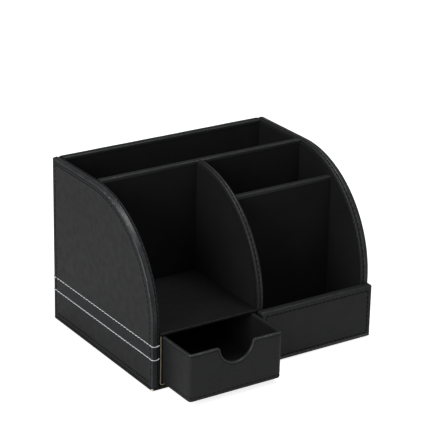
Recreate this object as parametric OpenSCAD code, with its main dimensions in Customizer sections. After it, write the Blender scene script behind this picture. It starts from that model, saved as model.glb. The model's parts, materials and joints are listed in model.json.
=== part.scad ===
// Desk organizer with one drawer, built from leather-covered boards.
// Millimetres, +Z up, +X to the right, the front faces -Y.
// The origin is on the desk, under the middle of the body.

/* [Body] */
// Width of the body over both side panels
body_w = 200; // [160:1:260]
// Depth of the side panels
body_d = 153; // [140:1:190]
// Height of the body above the desk
body_h = 139; // [115:1:180]
// Thickness of a finished side panel
side_t = 7; // [5:0.5:10]
// Thickness of the finished back panel
back_t = 6; // [4:0.5:10]
// Thickness of the finished inner walls
wall_t = 5; // [4:0.5:8]

/* [Side curve] */
// Radius of the quarter circle that leads from the top edge down to the front edge
curve_r = 90; // [80:1:100]
// Radius of the back top corner
corner_r = 3.2; // [3.2:0.1:8]

/* [Compartments] */
// Clear depth of the letter slot at the back
slot_depth = 53; // [45:1:60]
// Clear depth of the pen compartment
pen_depth = 39; // [25:1:50]
// Height of the top of the pen wall above the desk
pen_wall_h = 122; // [80:1:125]
// Clear width of the left bay, between its linings
bay_w = 86.3; // [70:0.1:100]

/* [Front panel] */
// Thickness of the front panel that lies over the right half
front_t = 5.5; // [4:0.5:9]
// Height of its top edge above the desk
front_h = 45; // [30:1:60]
// Gap between its lower edge and the desk
front_lift = 0.6; // [0.4:0.1:2]
// Rounding of its front edges
front_round = 2.2; // [1:0.1:3]

/* [Base] */
// Thickness of the covered base
base_t = 2.6; // [2.4:0.1:6]
// Thickness of the felt under the base
felt_t = 0.4; // [0.4:0.1:2]
// Distance from the base edge to the felt edge
felt_inset = 3; // [1:0.5:10]

/* [Cover] */
// Thickness of the leather cover
leather_t = 0.7; // [0.5:0.1:1]
// Rounding of the covered edges
edge_r = 1.2; // [0.8:0.1:1.6]
// Thickness of the lining sheets
lining_t = 0.6; // [0.4:0.1:1]
// Distance from a panel edge to the lining edge
lining_inset = 2.6; // [2:0.1:6]

/* [Sleeve] */
// Card thickness of the sleeve that the drawer slides in
sleeve_t = 1.4; // [1:0.1:2.5]
// How far its raw front edge lies behind the panel edges
sleeve_back = 1; // [0.8:0.1:3]
// Outside corner radius of the sleeve
sleeve_r = 2; // [1:0.1:3]

/* [Drawer] */
// Outside height of the drawer
drawer_h = 38.9; // [25:0.1:45]
// Space behind the closed drawer
drawer_back_gap = 5; // [1:0.5:15]
// How far the drawer stands open in the photographed pose
drawer_out = 37; // [0:1:60]
// Clearance on each side of the drawer
drawer_side_gap = 0.65; // [0.4:0.05:2]
// Clearance under the drawer
drawer_under_gap = 0.3; // [0.3:0.1:1]
// Clearance over the drawer
drawer_over_gap = 0.5; // [0.4:0.1:2]
// Thickness of the drawer boards
drawer_board_t = 1.6; // [1.2:0.1:3]
// Outside radius of the upright corners of the drawer
drawer_corner_r = 3.2; // [3.2:0.1:6]
// Radius of the finger notch
notch_r = 14.5; // [8:0.5:20]
// Rounding of the shoulders of the finger notch
notch_round = 2.5; // [1:0.1:3.5]

/* [Stitches] */
// Height of the lower white row above the desk
row_low_z = 26.5; // [12:0.5:30]
// Height of the upper white row above the desk
row_high_z = 37.5; // [32:0.5:60]
// Distance from one stitch to the next
stitch_pitch = 4.1; // [3:0.1:8]
// Gap between stitches of the upper white row
gap_high = 0.9; // [0.3:0.1:2]
// Gap between stitches of the lower white row
gap_low = 0.4; // [0.3:0.1:2]
// Width of the thread
thread_w = 0.8; // [0.5:0.1:1.5]
// Height of the thread above the leather
thread_h = 0.45; // [0.3:0.05:1]
// Distance of the dark edge stitches from the edge of a side panel
edge_row_inset = 4.6; // [3:0.1:8]
// Distance of the dark stitches from the edge of the divider
divider_row_inset = 4.2; // [3:0.1:8]

/* [Hidden] */
$fn = 96;
base_z = felt_t + base_t;
round_steps = 5;
overlap = 0.5;
rim_d = 3;

// Where the section of a thread slopes off, as shares of its half width and its height.
thread_cut_w = 0.8;
thread_cut_h = 0.7;

// Stations across the depth, from the front edge of the side panels.
back_y = body_d - back_t;
slot_y = back_y - slot_depth - wall_t;
pen_y = slot_y - pen_depth - wall_t;

// Stations across the width, from the outer face of the left side panel.
bay_x = side_t + lining_t;
divider_x = bay_x + bay_w + lining_t;
divider_x2 = divider_x + wall_t;
right_x = body_w - side_t;

// Height of the centre of the side curve, which is as far back as its radius.
curve_z = body_h - curve_r;

// The sleeve and the drawer in it.
drawer_z = base_z + sleeve_t + drawer_under_gap;
sleeve_in_z2 = drawer_z + drawer_h + drawer_over_gap;
shelf_z = sleeve_in_z2 + sleeve_t;
drawer_x = bay_x + sleeve_t + drawer_side_gap;
drawer_w = bay_w - 2 * sleeve_t - 2 * drawer_side_gap;
drawer_len = slot_y - drawer_back_gap;
board_in = leather_t + drawer_board_t;
inner_w = drawer_w - 2 * board_in;
inner_len = drawer_len - 2 * board_in;

// ---- outline of the side panels, in a plane with Y to the right and Z up ----

// One point of a circle about a centre.
function on_circle(c, r, a) = [c[0] + r * cos(a), c[1] + r * sin(a)];

// The points of a rounded corner.
function corner(c, r, a0, a1) =
    [for (k = [0 : round_steps]) on_circle(c, r, a0 + (a1 - a0) * k / round_steps)];

// A panel outline moved inwards by i, from the floor z0 to the top, cut off at y1.
// Its back top corner has the radius back_r, or is square with 0.
module side_profile(i, z0, y1, back_r = 0) {
    intersection() {
        union() {
            polygon([
                [i, z0],
                [body_d, z0],
                [body_d, body_h - i],
                [curve_r, body_h - i],
                [i, curve_z]
            ]);
            intersection() {
                translate([curve_r, curve_z]) circle(r = curve_r - i);
                translate([0, curve_z]) square([curve_r, curve_r]);
            }
        }
        union() {
            translate([0, z0]) square([y1 - back_r, body_h]);
            translate([0, z0]) square([y1, body_h - i - back_r - z0]);
            translate([y1 - back_r, body_h - i - back_r]) circle(r = back_r);
        }
    }
}

// Turns a drawing with Y to the right and Z up into a panel that grows along +X.
module stand_x() {
    rotate([90, 0, 90]) children();
}

// Section of what the rounding takes off both edges of a panel rim.
// The outer edge of the rim is at r, and the panel is t thick.
module rim_section(r, t) {
    polygon(concat(
        [[r + overlap, edge_r], [r + overlap, -overlap], [r - edge_r, -overlap]],
        corner([r - edge_r, edge_r], edge_r, -90, 0)
    ));
    polygon(concat(
        [[r - edge_r, t + overlap], [r + overlap, t + overlap], [r + overlap, t - edge_r]],
        corner([r - edge_r, t - edge_r], edge_r, 0, 90)
    ));
}

// The rounding round an arc of the rim with centre c.
module rim_arc(c, r, t, a0, a1) {
    translate(c) rotate([0, 0, a0]) rotate_extrude(angle = a1 - a0) rim_section(r, t);
}

// The rounding along a straight part of the rim that starts at p, where the outward direction is a.
module rim_run(p, t, a, len) {
    translate(p) rotate([0, 0, a]) rotate([90, 0, 0]) linear_extrude(len) rim_section(0, t);
}

// A curved panel with a rounded rim, t thick, standing on the base.
// With a free back edge the rim runs down it too.
module curved_slab(t, y1, free_back) {
    stand_x() difference() {
        linear_extrude(t) side_profile(0, base_z, y1, free_back ? corner_r : 0);
        rim_run([0, base_z - overlap], t, 180, curve_z - base_z + overlap);
        rim_arc([curve_r, curve_z], curve_r, t, 90, 180);
        if (free_back) {
            rim_run([curve_r, body_h], t, 90, y1 - corner_r - curve_r);
            rim_arc([y1 - corner_r, body_h - corner_r], corner_r, t, 0, 90);
            rim_run([y1, body_h - corner_r], t, 0, body_h - corner_r - base_z + overlap);
        } else {
            rim_run([curve_r, body_h], t, 90, max(y1 - curve_r, 0) + overlap);
        }
    }
}

// The board inside a curved panel.
module curved_board(t, y1, free_back) {
    translate([leather_t, 0, 0]) stand_x() linear_extrude(t - 2 * leather_t)
        side_profile(leather_t, base_z + leather_t, y1 - leather_t, free_back ? corner_r - leather_t : 0);
}

// A lining sheet on the face of a curved panel.
module curved_lining(y1) {
    stand_x() linear_extrude(lining_t) side_profile(lining_inset, base_z, y1);
}

// ---- straight walls ----

// A wall along X with a rounded top edge.
module wall(len, t, z0, z1) {
    stand_x() linear_extrude(len) polygon(concat(
        [[0, z0], [t, z0]],
        corner([t - edge_r, z1 - edge_r], edge_r, 0, 90),
        corner([edge_r, z1 - edge_r], edge_r, 90, 180)
    ));
}

// The board inside a straight wall.
module wall_board(len, t, z0, z1) {
    translate([leather_t, leather_t, z0 + leather_t])
        cube([len - 2 * leather_t, t - 2 * leather_t, z1 - z0 - 2 * leather_t]);
}

// A rectangle with rounded corners.
module rounded_rect(w, h, r) {
    polygon(concat(
        corner([w - r, h - r], r, 0, 90),
        corner([r, h - r], r, 90, 180),
        corner([r, r], r, 180, 270),
        corner([w - r, r], r, 270, 360)
    ));
}

// ---- stitches ----

// Section of a thread that lies on a face at height 0.
module thread_section() {
    half = thread_w / 2;
    polygon([
        [-half, 0],
        [half, 0],
        [half * thread_cut_w, thread_h * thread_cut_h],
        [0, thread_h],
        [-half * thread_cut_w, thread_h * thread_cut_h]
    ]);
}

// A quarter turn of thread round a rounded panel edge with its centre at x.
module thread_turn(x, a) {
    translate([x, edge_r, 0]) rotate([0, 0, a]) rotate_extrude(angle = 90)
        translate([edge_r, 0]) rotate(-90) thread_section();
}

// A thread that runs round the outer corner and across the narrow edge of a side panel.
module edge_wrap(both_corners) {
    thread_turn(edge_r, 180);
    if (both_corners) thread_turn(side_t - edge_r, 270);
    translate([edge_r, 0, 0]) rotate([90, 0, 90]) linear_extrude(side_t - 2 * edge_r)
        rotate(90) thread_section();
}

// A row of stitches on the outer face of a left side panel, at height z.
// The thread goes round the back edge, and round the front edge where that is free.
module straight_row(z, gap, front_free) {
    run = body_d - 2 * edge_r;
    count = floor(run / stitch_pitch);
    pitch = run / count;
    for (k = [0 : count - 1])
        translate([0, edge_r + pitch * k + gap / 2, z])
            rotate([-90, 0, 0]) rotate([0, 0, 90]) linear_extrude(pitch - gap) thread_section();
    if (front_free) translate([0, 0, z]) edge_wrap(true);
    translate([0, body_d, z]) mirror([0, 1, 0]) edge_wrap(false);
}

// A row that follows the curve at inset i has a level part, an arc and an upright part.
// These are the lengths at which the first two end, from a start at y1.
function end_level(y1) = y1 - curve_r;
function end_arc(i, y1) = end_level(y1) + (curve_r - i) * PI / 2;

// A place on the arc, in direction a from its centre: [y, z, outward direction].
function row_on_arc(i, a) = concat(on_circle([curve_r, curve_z], curve_r - i, a), [a]);

// A place on the whole row, at length s from its start.
function row_at(s, i, y1) =
    s < end_level(y1) ? [y1 - s, body_h - i, 90]
    : s < end_arc(i, y1) ? row_on_arc(i, 90 + (s - end_level(y1)) / (curve_r - i) * 180 / PI)
    : [i, curve_z - (s - end_arc(i, y1)), 180];

// Dark stitches along the curve, on the face of a panel at x = 0, with the thread towards -X.
// The row starts at y1 on the level edge and stops at z_end; stitches behind y_max are left out.
module curved_row(i, y1, y_max, z_end) {
    count = floor((end_arc(i, y1) + curve_z - z_end) / stitch_pitch);
    bar = stitch_pitch - gap_high;
    for (k = [0 : count - 1]) {
        p = row_at(stitch_pitch * (k + 0.5), i, y1);
        if (p[0] < y_max) stand_x() translate([p[0], p[1], 0]) rotate([0, 0, p[2]])
            rotate([90, 0, 0]) translate([0, 0, -bar / 2]) linear_extrude(bar)
                mirror([0, 1]) thread_section();
    }
}

// Moves the left front corner of the body to its place beside the origin.
module place() {
    translate([-body_w / 2, -body_d / 2, 0]) children();
}

// ---- nodes ----

module base_board() {
    color([0.62, 0.52, 0.38]) place()
        translate([leather_t, leather_t, felt_t + leather_t])
            cube([body_w - 2 * leather_t, body_d - 2 * leather_t, base_t - 2 * leather_t]);
}

module base_cover() {
    color([0.07, 0.07, 0.07]) place() difference() {
        translate([0, 0, felt_t]) linear_extrude(base_t) rounded_rect(body_w, body_d, edge_r);
        translate([leather_t, leather_t, felt_t + leather_t])
            cube([body_w - 2 * leather_t, body_d - 2 * leather_t, base_t - 2 * leather_t]);
    }
}

module base_felt() {
    color([0.03, 0.03, 0.03]) place() translate([felt_inset, felt_inset, 0]) linear_extrude(felt_t)
        rounded_rect(body_w - 2 * felt_inset, body_d - 2 * felt_inset, felt_inset);
}

module left_side_board() {
    color([0.62, 0.52, 0.38]) place() curved_board(side_t, body_d, true);
}

module left_side_cover() {
    color([0.07, 0.07, 0.07]) place() difference() {
        curved_slab(side_t, body_d, true);
        curved_board(side_t, body_d, true);
    }
}

// The gap in a lining sheet where the end of a wall meets the side panel.
module wall_gap(y, h) {
    translate([-overlap, y, 0]) cube([lining_t + 2 * overlap, wall_t, h]);
}

module left_side_lining() {
    color([0.05, 0.05, 0.05]) place() translate([side_t, 0, 0]) difference() {
        curved_lining(back_y);
        wall_gap(slot_y, body_h);
    }
}

module right_side_board() {
    color([0.62, 0.52, 0.38]) place()
        translate([right_x, 0, 0]) curved_board(side_t, body_d, true);
}

module right_side_cover() {
    color([0.07, 0.07, 0.07]) place() translate([right_x, 0, 0]) difference() {
        curved_slab(side_t, body_d, true);
        curved_board(side_t, body_d, true);
    }
}

module right_side_lining() {
    color([0.05, 0.05, 0.05]) place() translate([right_x - lining_t, 0, 0]) difference() {
        curved_lining(back_y);
        wall_gap(slot_y, body_h);
        wall_gap(pen_y, pen_wall_h);
    }
}

module back_board() {
    color([0.62, 0.52, 0.38]) place()
        translate([side_t, back_y, 0]) wall_board(right_x - side_t, back_t, base_z, body_h);
}

module back_cover() {
    color([0.07, 0.07, 0.07]) place() translate([side_t, back_y, 0]) difference() {
        wall(right_x - side_t, back_t, base_z, body_h);
        wall_board(right_x - side_t, back_t, base_z, body_h);
    }
}

module slot_wall_board() {
    color([0.62, 0.52, 0.38]) place()
        translate([side_t, slot_y, 0]) wall_board(right_x - side_t, wall_t, base_z, body_h);
}

module slot_wall_cover() {
    color([0.07, 0.07, 0.07]) place() translate([side_t, slot_y, 0]) difference() {
        wall(right_x - side_t, wall_t, base_z, body_h);
        wall_board(right_x - side_t, wall_t, base_z, body_h);
    }
}

module divider_board() {
    color([0.62, 0.52, 0.38]) place()
        translate([divider_x, 0, 0]) curved_board(wall_t, slot_y, false);
}

module divider_cover() {
    color([0.07, 0.07, 0.07]) place() translate([divider_x, 0, 0]) difference() {
        curved_slab(wall_t, slot_y, false);
        curved_board(wall_t, slot_y, false);
    }
}

module divider_lining() {
    color([0.05, 0.05, 0.05]) place()
        translate([divider_x - lining_t, 0, 0]) curved_lining(slot_y);
}

module pen_wall_board() {
    color([0.62, 0.52, 0.38]) place()
        translate([divider_x2, pen_y, 0]) wall_board(right_x - divider_x2, wall_t, base_z, pen_wall_h);
}

module pen_wall_cover() {
    color([0.07, 0.07, 0.07]) place() translate([divider_x2, pen_y, 0]) difference() {
        wall(right_x - divider_x2, wall_t, base_z, pen_wall_h);
        wall_board(right_x - divider_x2, wall_t, base_z, pen_wall_h);
    }
}

// Section of the front panel rim: square at the back, rounded at the front.
module front_section(r) {
    polygon(concat(
        [[r - rim_d, 0], [r, 0]],
        corner([r - front_round, front_t - front_round], front_round, 0, 90),
        [[r - rim_d, front_t]]
    ));
}

// One straight edge of the front panel, len long, on the side that faces direction a.
// The panel measures h in that direction.
module front_edge(len, h, a) {
    rotate([0, 0, a]) rotate([90, 0, 0]) translate([0, 0, -len / 2 + rim_d])
        linear_extrude(len - 2 * rim_d) front_section(h / 2);
}

// The front panel without its board: four straight edges, four corners and the middle.
module front_slab() {
    w = body_w - divider_x;
    h = front_h - front_lift;
    translate([divider_x + w / 2, 0, front_lift + h / 2]) rotate([90, 0, 0]) {
        for (a = [0, 180]) front_edge(h, w, a);
        for (a = [90, 270]) front_edge(w, h, a);
        for (a = [0, 90, 180, 270])
            translate([
                (a == 0 || a == 270 ? 1 : -1) * (w / 2 - rim_d),
                (a == 0 || a == 90 ? 1 : -1) * (h / 2 - rim_d),
                0
            ]) rotate([0, 0, a]) rotate_extrude(angle = 90) front_section(rim_d);
        translate([-w / 2 + rim_d - overlap, -h / 2 + rim_d - overlap, 0])
            cube([w - 2 * rim_d + 2 * overlap, h - 2 * rim_d + 2 * overlap, front_t]);
    }
}

// The room for the board inside the front panel.
module front_core() {
    translate([divider_x + front_round, leather_t - front_t, front_lift + front_round])
        cube([
            body_w - divider_x - 2 * front_round,
            front_t - 2 * leather_t,
            front_h - front_lift - 2 * front_round
        ]);
}

module front_board() {
    color([0.62, 0.52, 0.38]) place() front_core();
}

module front_cover() {
    color([0.07, 0.07, 0.07]) place() difference() {
        front_slab();
        front_core();
    }
}

module drawer_sleeve() {
    h = shelf_z - base_z;
    color([0.60, 0.50, 0.38]) place() translate([bay_x, slot_y, base_z]) rotate([90, 0, 0])
        linear_extrude(slot_y - sleeve_back) difference() {
            rounded_rect(bay_w, h, sleeve_r);
            translate([sleeve_t, sleeve_t]) square([bay_w - 2 * sleeve_t, h - 2 * sleeve_t]);
        }
}

module shelf_cover() {
    color([0.07, 0.07, 0.07]) place() {
        translate([bay_x, sleeve_back - leather_t, shelf_z])
            cube([bay_w, slot_y - sleeve_back + leather_t, leather_t]);
        translate([bay_x, sleeve_back - leather_t, sleeve_in_z2])
            cube([bay_w, leather_t, sleeve_t + leather_t]);
    }
}

module left_row_high() {
    color([0.85, 0.85, 0.85]) place() straight_row(row_high_z, gap_high, true);
}

module left_row_low() {
    color([0.85, 0.85, 0.85]) place() straight_row(row_low_z, gap_low, true);
}

module right_row_high() {
    color([0.85, 0.85, 0.85]) mirror([1, 0, 0]) place() straight_row(row_high_z, gap_high, false);
}

module right_row_low() {
    color([0.85, 0.85, 0.85]) mirror([1, 0, 0]) place() straight_row(row_low_z, gap_low, false);
}

module left_edge_stitches() {
    color([0.04, 0.04, 0.04]) place()
        curved_row(edge_row_inset, body_d - edge_row_inset, body_d, row_high_z + edge_row_inset);
}

module right_edge_stitches() {
    color([0.04, 0.04, 0.04]) mirror([1, 0, 0]) place()
        curved_row(edge_row_inset, body_d - edge_row_inset, body_d, row_high_z + edge_row_inset);
}

module divider_stitches() {
    y1 = max(curve_r, slot_y);
    color([0.04, 0.04, 0.04]) place() translate([divider_x - lining_t, 0, 0])
        curved_row(divider_row_inset, y1, slot_y - stitch_pitch, shelf_z + stitch_pitch);
}

// ---- the drawer, drawn closed and then moved forward ----

module at_drawer() {
    place() translate([drawer_x, -drawer_out, drawer_z]) children();
}

// The outline of the drawer seen from above, moved inwards by i.
module drawer_plan(i) {
    translate([i, i]) rounded_rect(drawer_w - 2 * i, drawer_len - 2 * i, drawer_corner_r - i);
}

// The finger notch, grown by g, in a plane with X to the right and Z up.
module notch_outline(g) {
    r = notch_r + g;
    f = notch_round;
    reach = sqrt((r + f) * (r + f) - f * f);
    side = atan2(f, reach);
    translate([drawer_w / 2, drawer_h]) {
        intersection() {
            circle(r = r);
            translate([-r, -r]) square([2 * r, r + overlap]);
        }
        for (s = [0, 1]) mirror([s, 0])
            polygon(concat(
                [[0, overlap], [0, -f], [r * cos(side), -f * r / (r + f)]],
                corner([reach, -f], f, 180 - side, 90),
                [[reach, overlap]]
            ));
    }
}

// The finger notch as a cutter through the front wall of the drawer.
module notch_cut(g, y0, y1) {
    translate([0, y1, 0]) rotate([90, 0, 0]) linear_extrude(y1 - y0) notch_outline(g);
}

module drawer_front_board() {
    color([0.55, 0.47, 0.35]) at_drawer() difference() {
        translate([0, 0, leather_t]) linear_extrude(drawer_h - 2 * leather_t) intersection() {
            drawer_plan(leather_t);
            square([drawer_w, board_in]);
        }
        notch_cut(leather_t, 0, board_in + overlap);
    }
}

module drawer_back_board() {
    color([0.55, 0.47, 0.35]) at_drawer()
        translate([0, 0, leather_t]) linear_extrude(drawer_h - 2 * leather_t) intersection() {
            drawer_plan(leather_t);
            translate([0, board_in + inner_len]) square([drawer_w, board_in]);
        }
}

// An upright side board of the drawer, with its outer face at x.
module drawer_side_board(x) {
    at_drawer() translate([0, 0, leather_t]) linear_extrude(drawer_h - 2 * leather_t) intersection() {
        drawer_plan(leather_t);
        translate([x, board_in]) square([drawer_board_t, inner_len]);
    }
}

module drawer_left_board() {
    color([0.55, 0.47, 0.35]) drawer_side_board(leather_t);
}

module drawer_right_board() {
    color([0.55, 0.47, 0.35]) drawer_side_board(drawer_w - board_in);
}

module drawer_bottom_board() {
    color([0.55, 0.47, 0.35]) at_drawer()
        translate([board_in, board_in, leather_t]) cube([inner_w, inner_len, drawer_board_t]);
}

// The leather round the drawer boards, with a strip that lines the finger notch.
module drawer_cover() {
    color([0.07, 0.07, 0.07]) at_drawer() difference() {
        union() {
            difference() {
                linear_extrude(drawer_h) drawer_plan(0);
                translate([0, 0, leather_t]) linear_extrude(drawer_h - 2 * leather_t)
                    drawer_plan(leather_t);
                translate([board_in, board_in, leather_t]) cube([inner_w, inner_len, drawer_h]);
            }
            intersection() {
                translate([leather_t, leather_t / 2, leather_t / 2])
                    cube([drawer_w - 2 * leather_t, board_in - leather_t / 2, drawer_h - leather_t]);
                notch_cut(leather_t, 0, board_in);
            }
        }
        notch_cut(0, -overlap, board_in + overlap);
    }
}

module drawer_lining() {
    face = board_in + leather_t;
    color([0.03, 0.03, 0.03]) at_drawer() difference() {
        translate([board_in, board_in, board_in])
            cube([inner_w, inner_len, drawer_h - 2 * leather_t - board_in]);
        translate([face, face, face])
            cube([inner_w - 2 * leather_t, inner_len - 2 * leather_t, drawer_h]);
        notch_cut(leather_t, board_in - overlap, face + overlap);
    }
}

base_board();
base_cover();
base_felt();
left_side_board();
left_side_cover();
left_side_lining();
right_side_board();
right_side_cover();
right_side_lining();
back_board();
back_cover();
slot_wall_board();
slot_wall_cover();
divider_board();
divider_cover();
divider_lining();
pen_wall_board();
pen_wall_cover();
front_board();
front_cover();
drawer_sleeve();
shelf_cover();
left_row_high();
left_row_low();
right_row_high();
right_row_low();
left_edge_stitches();
right_edge_stitches();
divider_stitches();
drawer_front_board();
drawer_back_board();
drawer_left_board();
drawer_right_board();
drawer_bottom_board();
drawer_cover();
drawer_lining();
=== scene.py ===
# %% [markdown]
# # A desk organizer in black leather
# The object is a desk organizer made of boards that are covered with black artificial leather. A letter slot
# runs across its back. In front of the slot, the left half is an open bay with a drawer under it, and the
# right half is a narrow upright compartment with a square bay before it. The measured model is loaded first
# as a fixed frame. This lesson then dresses the frame: each leather skin is modelled again with its soft
# edges, creases and seams, the threads are laid in stitch by stitch, and every material is made from nodes.

# %% Load the frame
import bmesh
import bpy
import json
import math
import numpy as np
from mathutils import Matrix, Vector


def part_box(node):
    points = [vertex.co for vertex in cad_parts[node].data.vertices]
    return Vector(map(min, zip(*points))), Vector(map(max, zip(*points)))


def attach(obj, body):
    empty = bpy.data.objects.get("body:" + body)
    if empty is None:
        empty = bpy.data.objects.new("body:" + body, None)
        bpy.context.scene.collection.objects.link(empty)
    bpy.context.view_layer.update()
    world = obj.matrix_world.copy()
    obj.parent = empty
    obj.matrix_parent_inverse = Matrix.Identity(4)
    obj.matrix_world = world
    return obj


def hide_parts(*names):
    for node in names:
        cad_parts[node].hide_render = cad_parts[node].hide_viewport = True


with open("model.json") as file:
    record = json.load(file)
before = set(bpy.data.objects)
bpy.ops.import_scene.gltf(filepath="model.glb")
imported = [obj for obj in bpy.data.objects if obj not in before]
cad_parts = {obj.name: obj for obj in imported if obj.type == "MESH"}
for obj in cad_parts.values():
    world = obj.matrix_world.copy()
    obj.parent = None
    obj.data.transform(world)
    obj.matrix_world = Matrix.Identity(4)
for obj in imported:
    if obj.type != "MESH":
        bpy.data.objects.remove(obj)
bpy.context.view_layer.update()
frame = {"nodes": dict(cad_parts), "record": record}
print("nodes:", len(frame["nodes"]))

# %% [markdown]
# ## Maker's measures
# A maker of such an organizer measures in millimetres from one corner of the work. Here that corner is on
# the desk, under the front end of the left side panel. The frame is in metres, so one helper turns the
# maker's measures into frame points, and another reads where a node of the frame lies. The sizes could be
# written down again, but reading them keeps the skins on their boards if a size of the model is changed.

# %% Read the sizes from the frame
MM = 0.001
left_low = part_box("left_side_cover")[0]
CORNER = np.array([left_low.x, left_low.y, 0.0])


def span(node):
    """Where a node lies: its range in x, y and z, in millimetres from the maker's corner."""
    low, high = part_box(node)
    return [((a - c) / MM, (b - c) / MM) for a, b, c in zip(low, high, CORNER)]


def to_frame(points):
    """Millimetres from the maker's corner to metres in the frame."""
    return np.asarray(points, float) * MM + CORNER


BODY_W = span("base_cover")[0][1]
SIDE_T, BODY_D = span("left_side_cover")[0][1], span("left_side_cover")[1][1]
PANEL_Z, BODY_H = span("left_side_cover")[2]
SLOT_Y = span("slot_wall_cover")[1][0]
DIVIDER_X, DIVIDER_X2 = span("divider_cover")[0]
CURVE_R = 90.0
CURVE_Z = BODY_H - CURVE_R
print("body", round(BODY_W, 2), "x", round(BODY_D, 2), "x", round(BODY_H, 2), "mm")
print("side panels stand on the base at", round(PANEL_Z, 2), "mm")

# %% [markdown]
# ## The camera
# The photograph was taken with a long lens, from the front left and a little above. A camera can be turned by
# eye until the picture looks right, or fitted. This one was fitted to the straight edges and the corners of
# the organizer, so its place, its turn and its lens are written down here as they were found.

# %% Place the camera
PHOTO_SIDE = 430
FITTED_FOCUS = 1904.352
SENSOR_W = 36
AZIMUTH, ELEVATION, ROLL = math.radians(-33.352), math.radians(21.877), math.radians(1.162)
EYE = Vector((-0.762365, -1.163752, 0.65504))

scene = bpy.context.scene
back = Vector((
    math.sin(AZIMUTH) * math.cos(ELEVATION),
    -math.cos(AZIMUTH) * math.cos(ELEVATION),
    math.sin(ELEVATION),
))
level_right = (-back).cross(Vector((0, 0, 1))).normalized()
level_up = level_right.cross(-back)
right = level_right * math.cos(ROLL) + level_up * math.sin(ROLL)
up = level_up * math.cos(ROLL) - level_right * math.sin(ROLL)

camera_data = bpy.data.cameras.new("photo_camera")
camera_data.sensor_width = SENSOR_W
camera_data.lens = FITTED_FOCUS / PHOTO_SIDE * SENSOR_W
camera_data.clip_start = 0.05
camera = bpy.data.objects.new("photo_camera", camera_data)
camera.matrix_world = Matrix((
    (right.x, up.x, back.x, EYE.x),
    (right.y, up.y, back.y, EYE.y),
    (right.z, up.z, back.z, EYE.z),
    (0, 0, 0, 1),
))
scene.collection.objects.link(camera)
scene.camera = camera
print("lens", round(camera_data.lens, 1), "mm,", round(EYE.length, 2), "m from the organizer")

# %% [markdown]
# ## The world
# The background of the photograph is plain white. A white world would also light the object from all sides
# and wash out the black leather. So the world is mixed from two strengths: the camera sees it as plain white,
# and everything else gets only a little light from it.

# %% Set the world
WORLD_LIGHT, SEEN_WHITE = 0.10, 1.0
scene.view_settings.view_transform = "Standard"


def choose_for_camera(tree, plain, seen):
    """A shader that meets the light as plain does and that the camera sees as seen."""
    ray = tree.nodes.new("ShaderNodeLightPath")
    choice = tree.nodes.new("ShaderNodeMixShader")
    tree.links.new(ray.outputs["Is Camera Ray"], choice.inputs["Fac"])
    tree.links.new(plain, choice.inputs[1])
    tree.links.new(seen, choice.inputs[2])
    return choice.outputs[0]


def white_background(tree, strength):
    node = tree.nodes.new("ShaderNodeBackground")
    node.inputs["Color"].default_value = (1, 1, 1, 1)
    node.inputs["Strength"].default_value = strength
    return node.outputs[0]


world = bpy.data.worlds.new("studio")
scene.world = world
world.use_nodes = True
sky = world.node_tree
sky.nodes.clear()
sky_out = sky.nodes.new("ShaderNodeOutputWorld")
sky_shader = choose_for_camera(sky, white_background(sky, WORLD_LIGHT), white_background(sky, SEEN_WHITE))
sky.links.new(sky_shader, sky_out.inputs["Surface"])
print("world light", WORLD_LIGHT, "seen as", SEEN_WHITE)

# %% [markdown]
# ## The soft boxes
# Black leather shows mostly what it mirrors, so small lamps would show as hard spots on it. Large soft boxes
# give broad reflections instead. One stands on the left and makes the side panel the lightest face, as in the
# photograph. One hangs above and draws the soft line along the curved edge. A weak one opens up the fronts.

# %% Place the soft boxes
AIM = Vector((0, 0, 0.07))
SOFT_BOXES = {
    # place in metres, width and height in metres, power in watts
    "left_soft_box": ((-1.5, -0.5, 0.66), (1.1, 1.1), 20),
    "top_soft_box": ((0.16, -0.12, 1.4), (0.7, 0.8), 12),
    "front_soft_box": ((0.9, -1.5, 0.8), (1.2, 1.0), 2),
}
for box_name, (place, size, power) in SOFT_BOXES.items():
    lamp = bpy.data.lights.new(box_name, "AREA")
    lamp.shape = "RECTANGLE"
    lamp.size, lamp.size_y = size
    lamp.energy = power
    holder = bpy.data.objects.new(box_name, lamp)
    holder.location = place
    holder.rotation_euler = (AIM - Vector(place)).to_track_quat("-Z", "Y").to_euler()
    scene.collection.objects.link(holder)
    print(box_name, "at", place, "power", power)

# %% [markdown]
# ## The floor
# The organizer stands on plain white paper that runs out of the picture and takes its soft shadow. More light
# would make the paper white but the leather grey. So the paper is only lifted for the camera, by a little
# glow of its own, and the light on the object stays as it is.

# %% Lay the floor
FLOOR_SIDE = 8.0
PAPER_WHITE, PAPER_LIFT = 0.66, 0.82
half = FLOOR_SIDE / 2
floor_mesh = bpy.data.meshes.new("floor")
floor_corners = [(-half, -half, 0), (half, -half, 0), (half, half, 0), (-half, half, 0)]
floor_mesh.from_pydata(floor_corners, [], [(0, 1, 2, 3)])
floor = bpy.data.objects.new("floor", floor_mesh)
scene.collection.objects.link(floor)

paper = bpy.data.materials.new("white_paper")
paper.use_nodes = True
sheet = paper.node_tree
sheet.nodes.clear()
paper_out = sheet.nodes.new("ShaderNodeOutputMaterial")
matt = sheet.nodes.new("ShaderNodeBsdfDiffuse")
matt.inputs["Color"].default_value = (PAPER_WHITE, PAPER_WHITE, PAPER_WHITE, 1)
glow = sheet.nodes.new("ShaderNodeEmission")
glow.inputs["Strength"].default_value = PAPER_LIFT
lifted = sheet.nodes.new("ShaderNodeAddShader")
sheet.links.new(matt.outputs[0], lifted.inputs[0])
sheet.links.new(glow.outputs[0], lifted.inputs[1])
paper_shader = choose_for_camera(sheet, matt.outputs[0], lifted.outputs[0])
sheet.links.new(paper_shader, paper_out.inputs["Surface"])
floor_mesh.materials.append(paper)
print("floor", FLOOR_SIDE, "m square")

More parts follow.
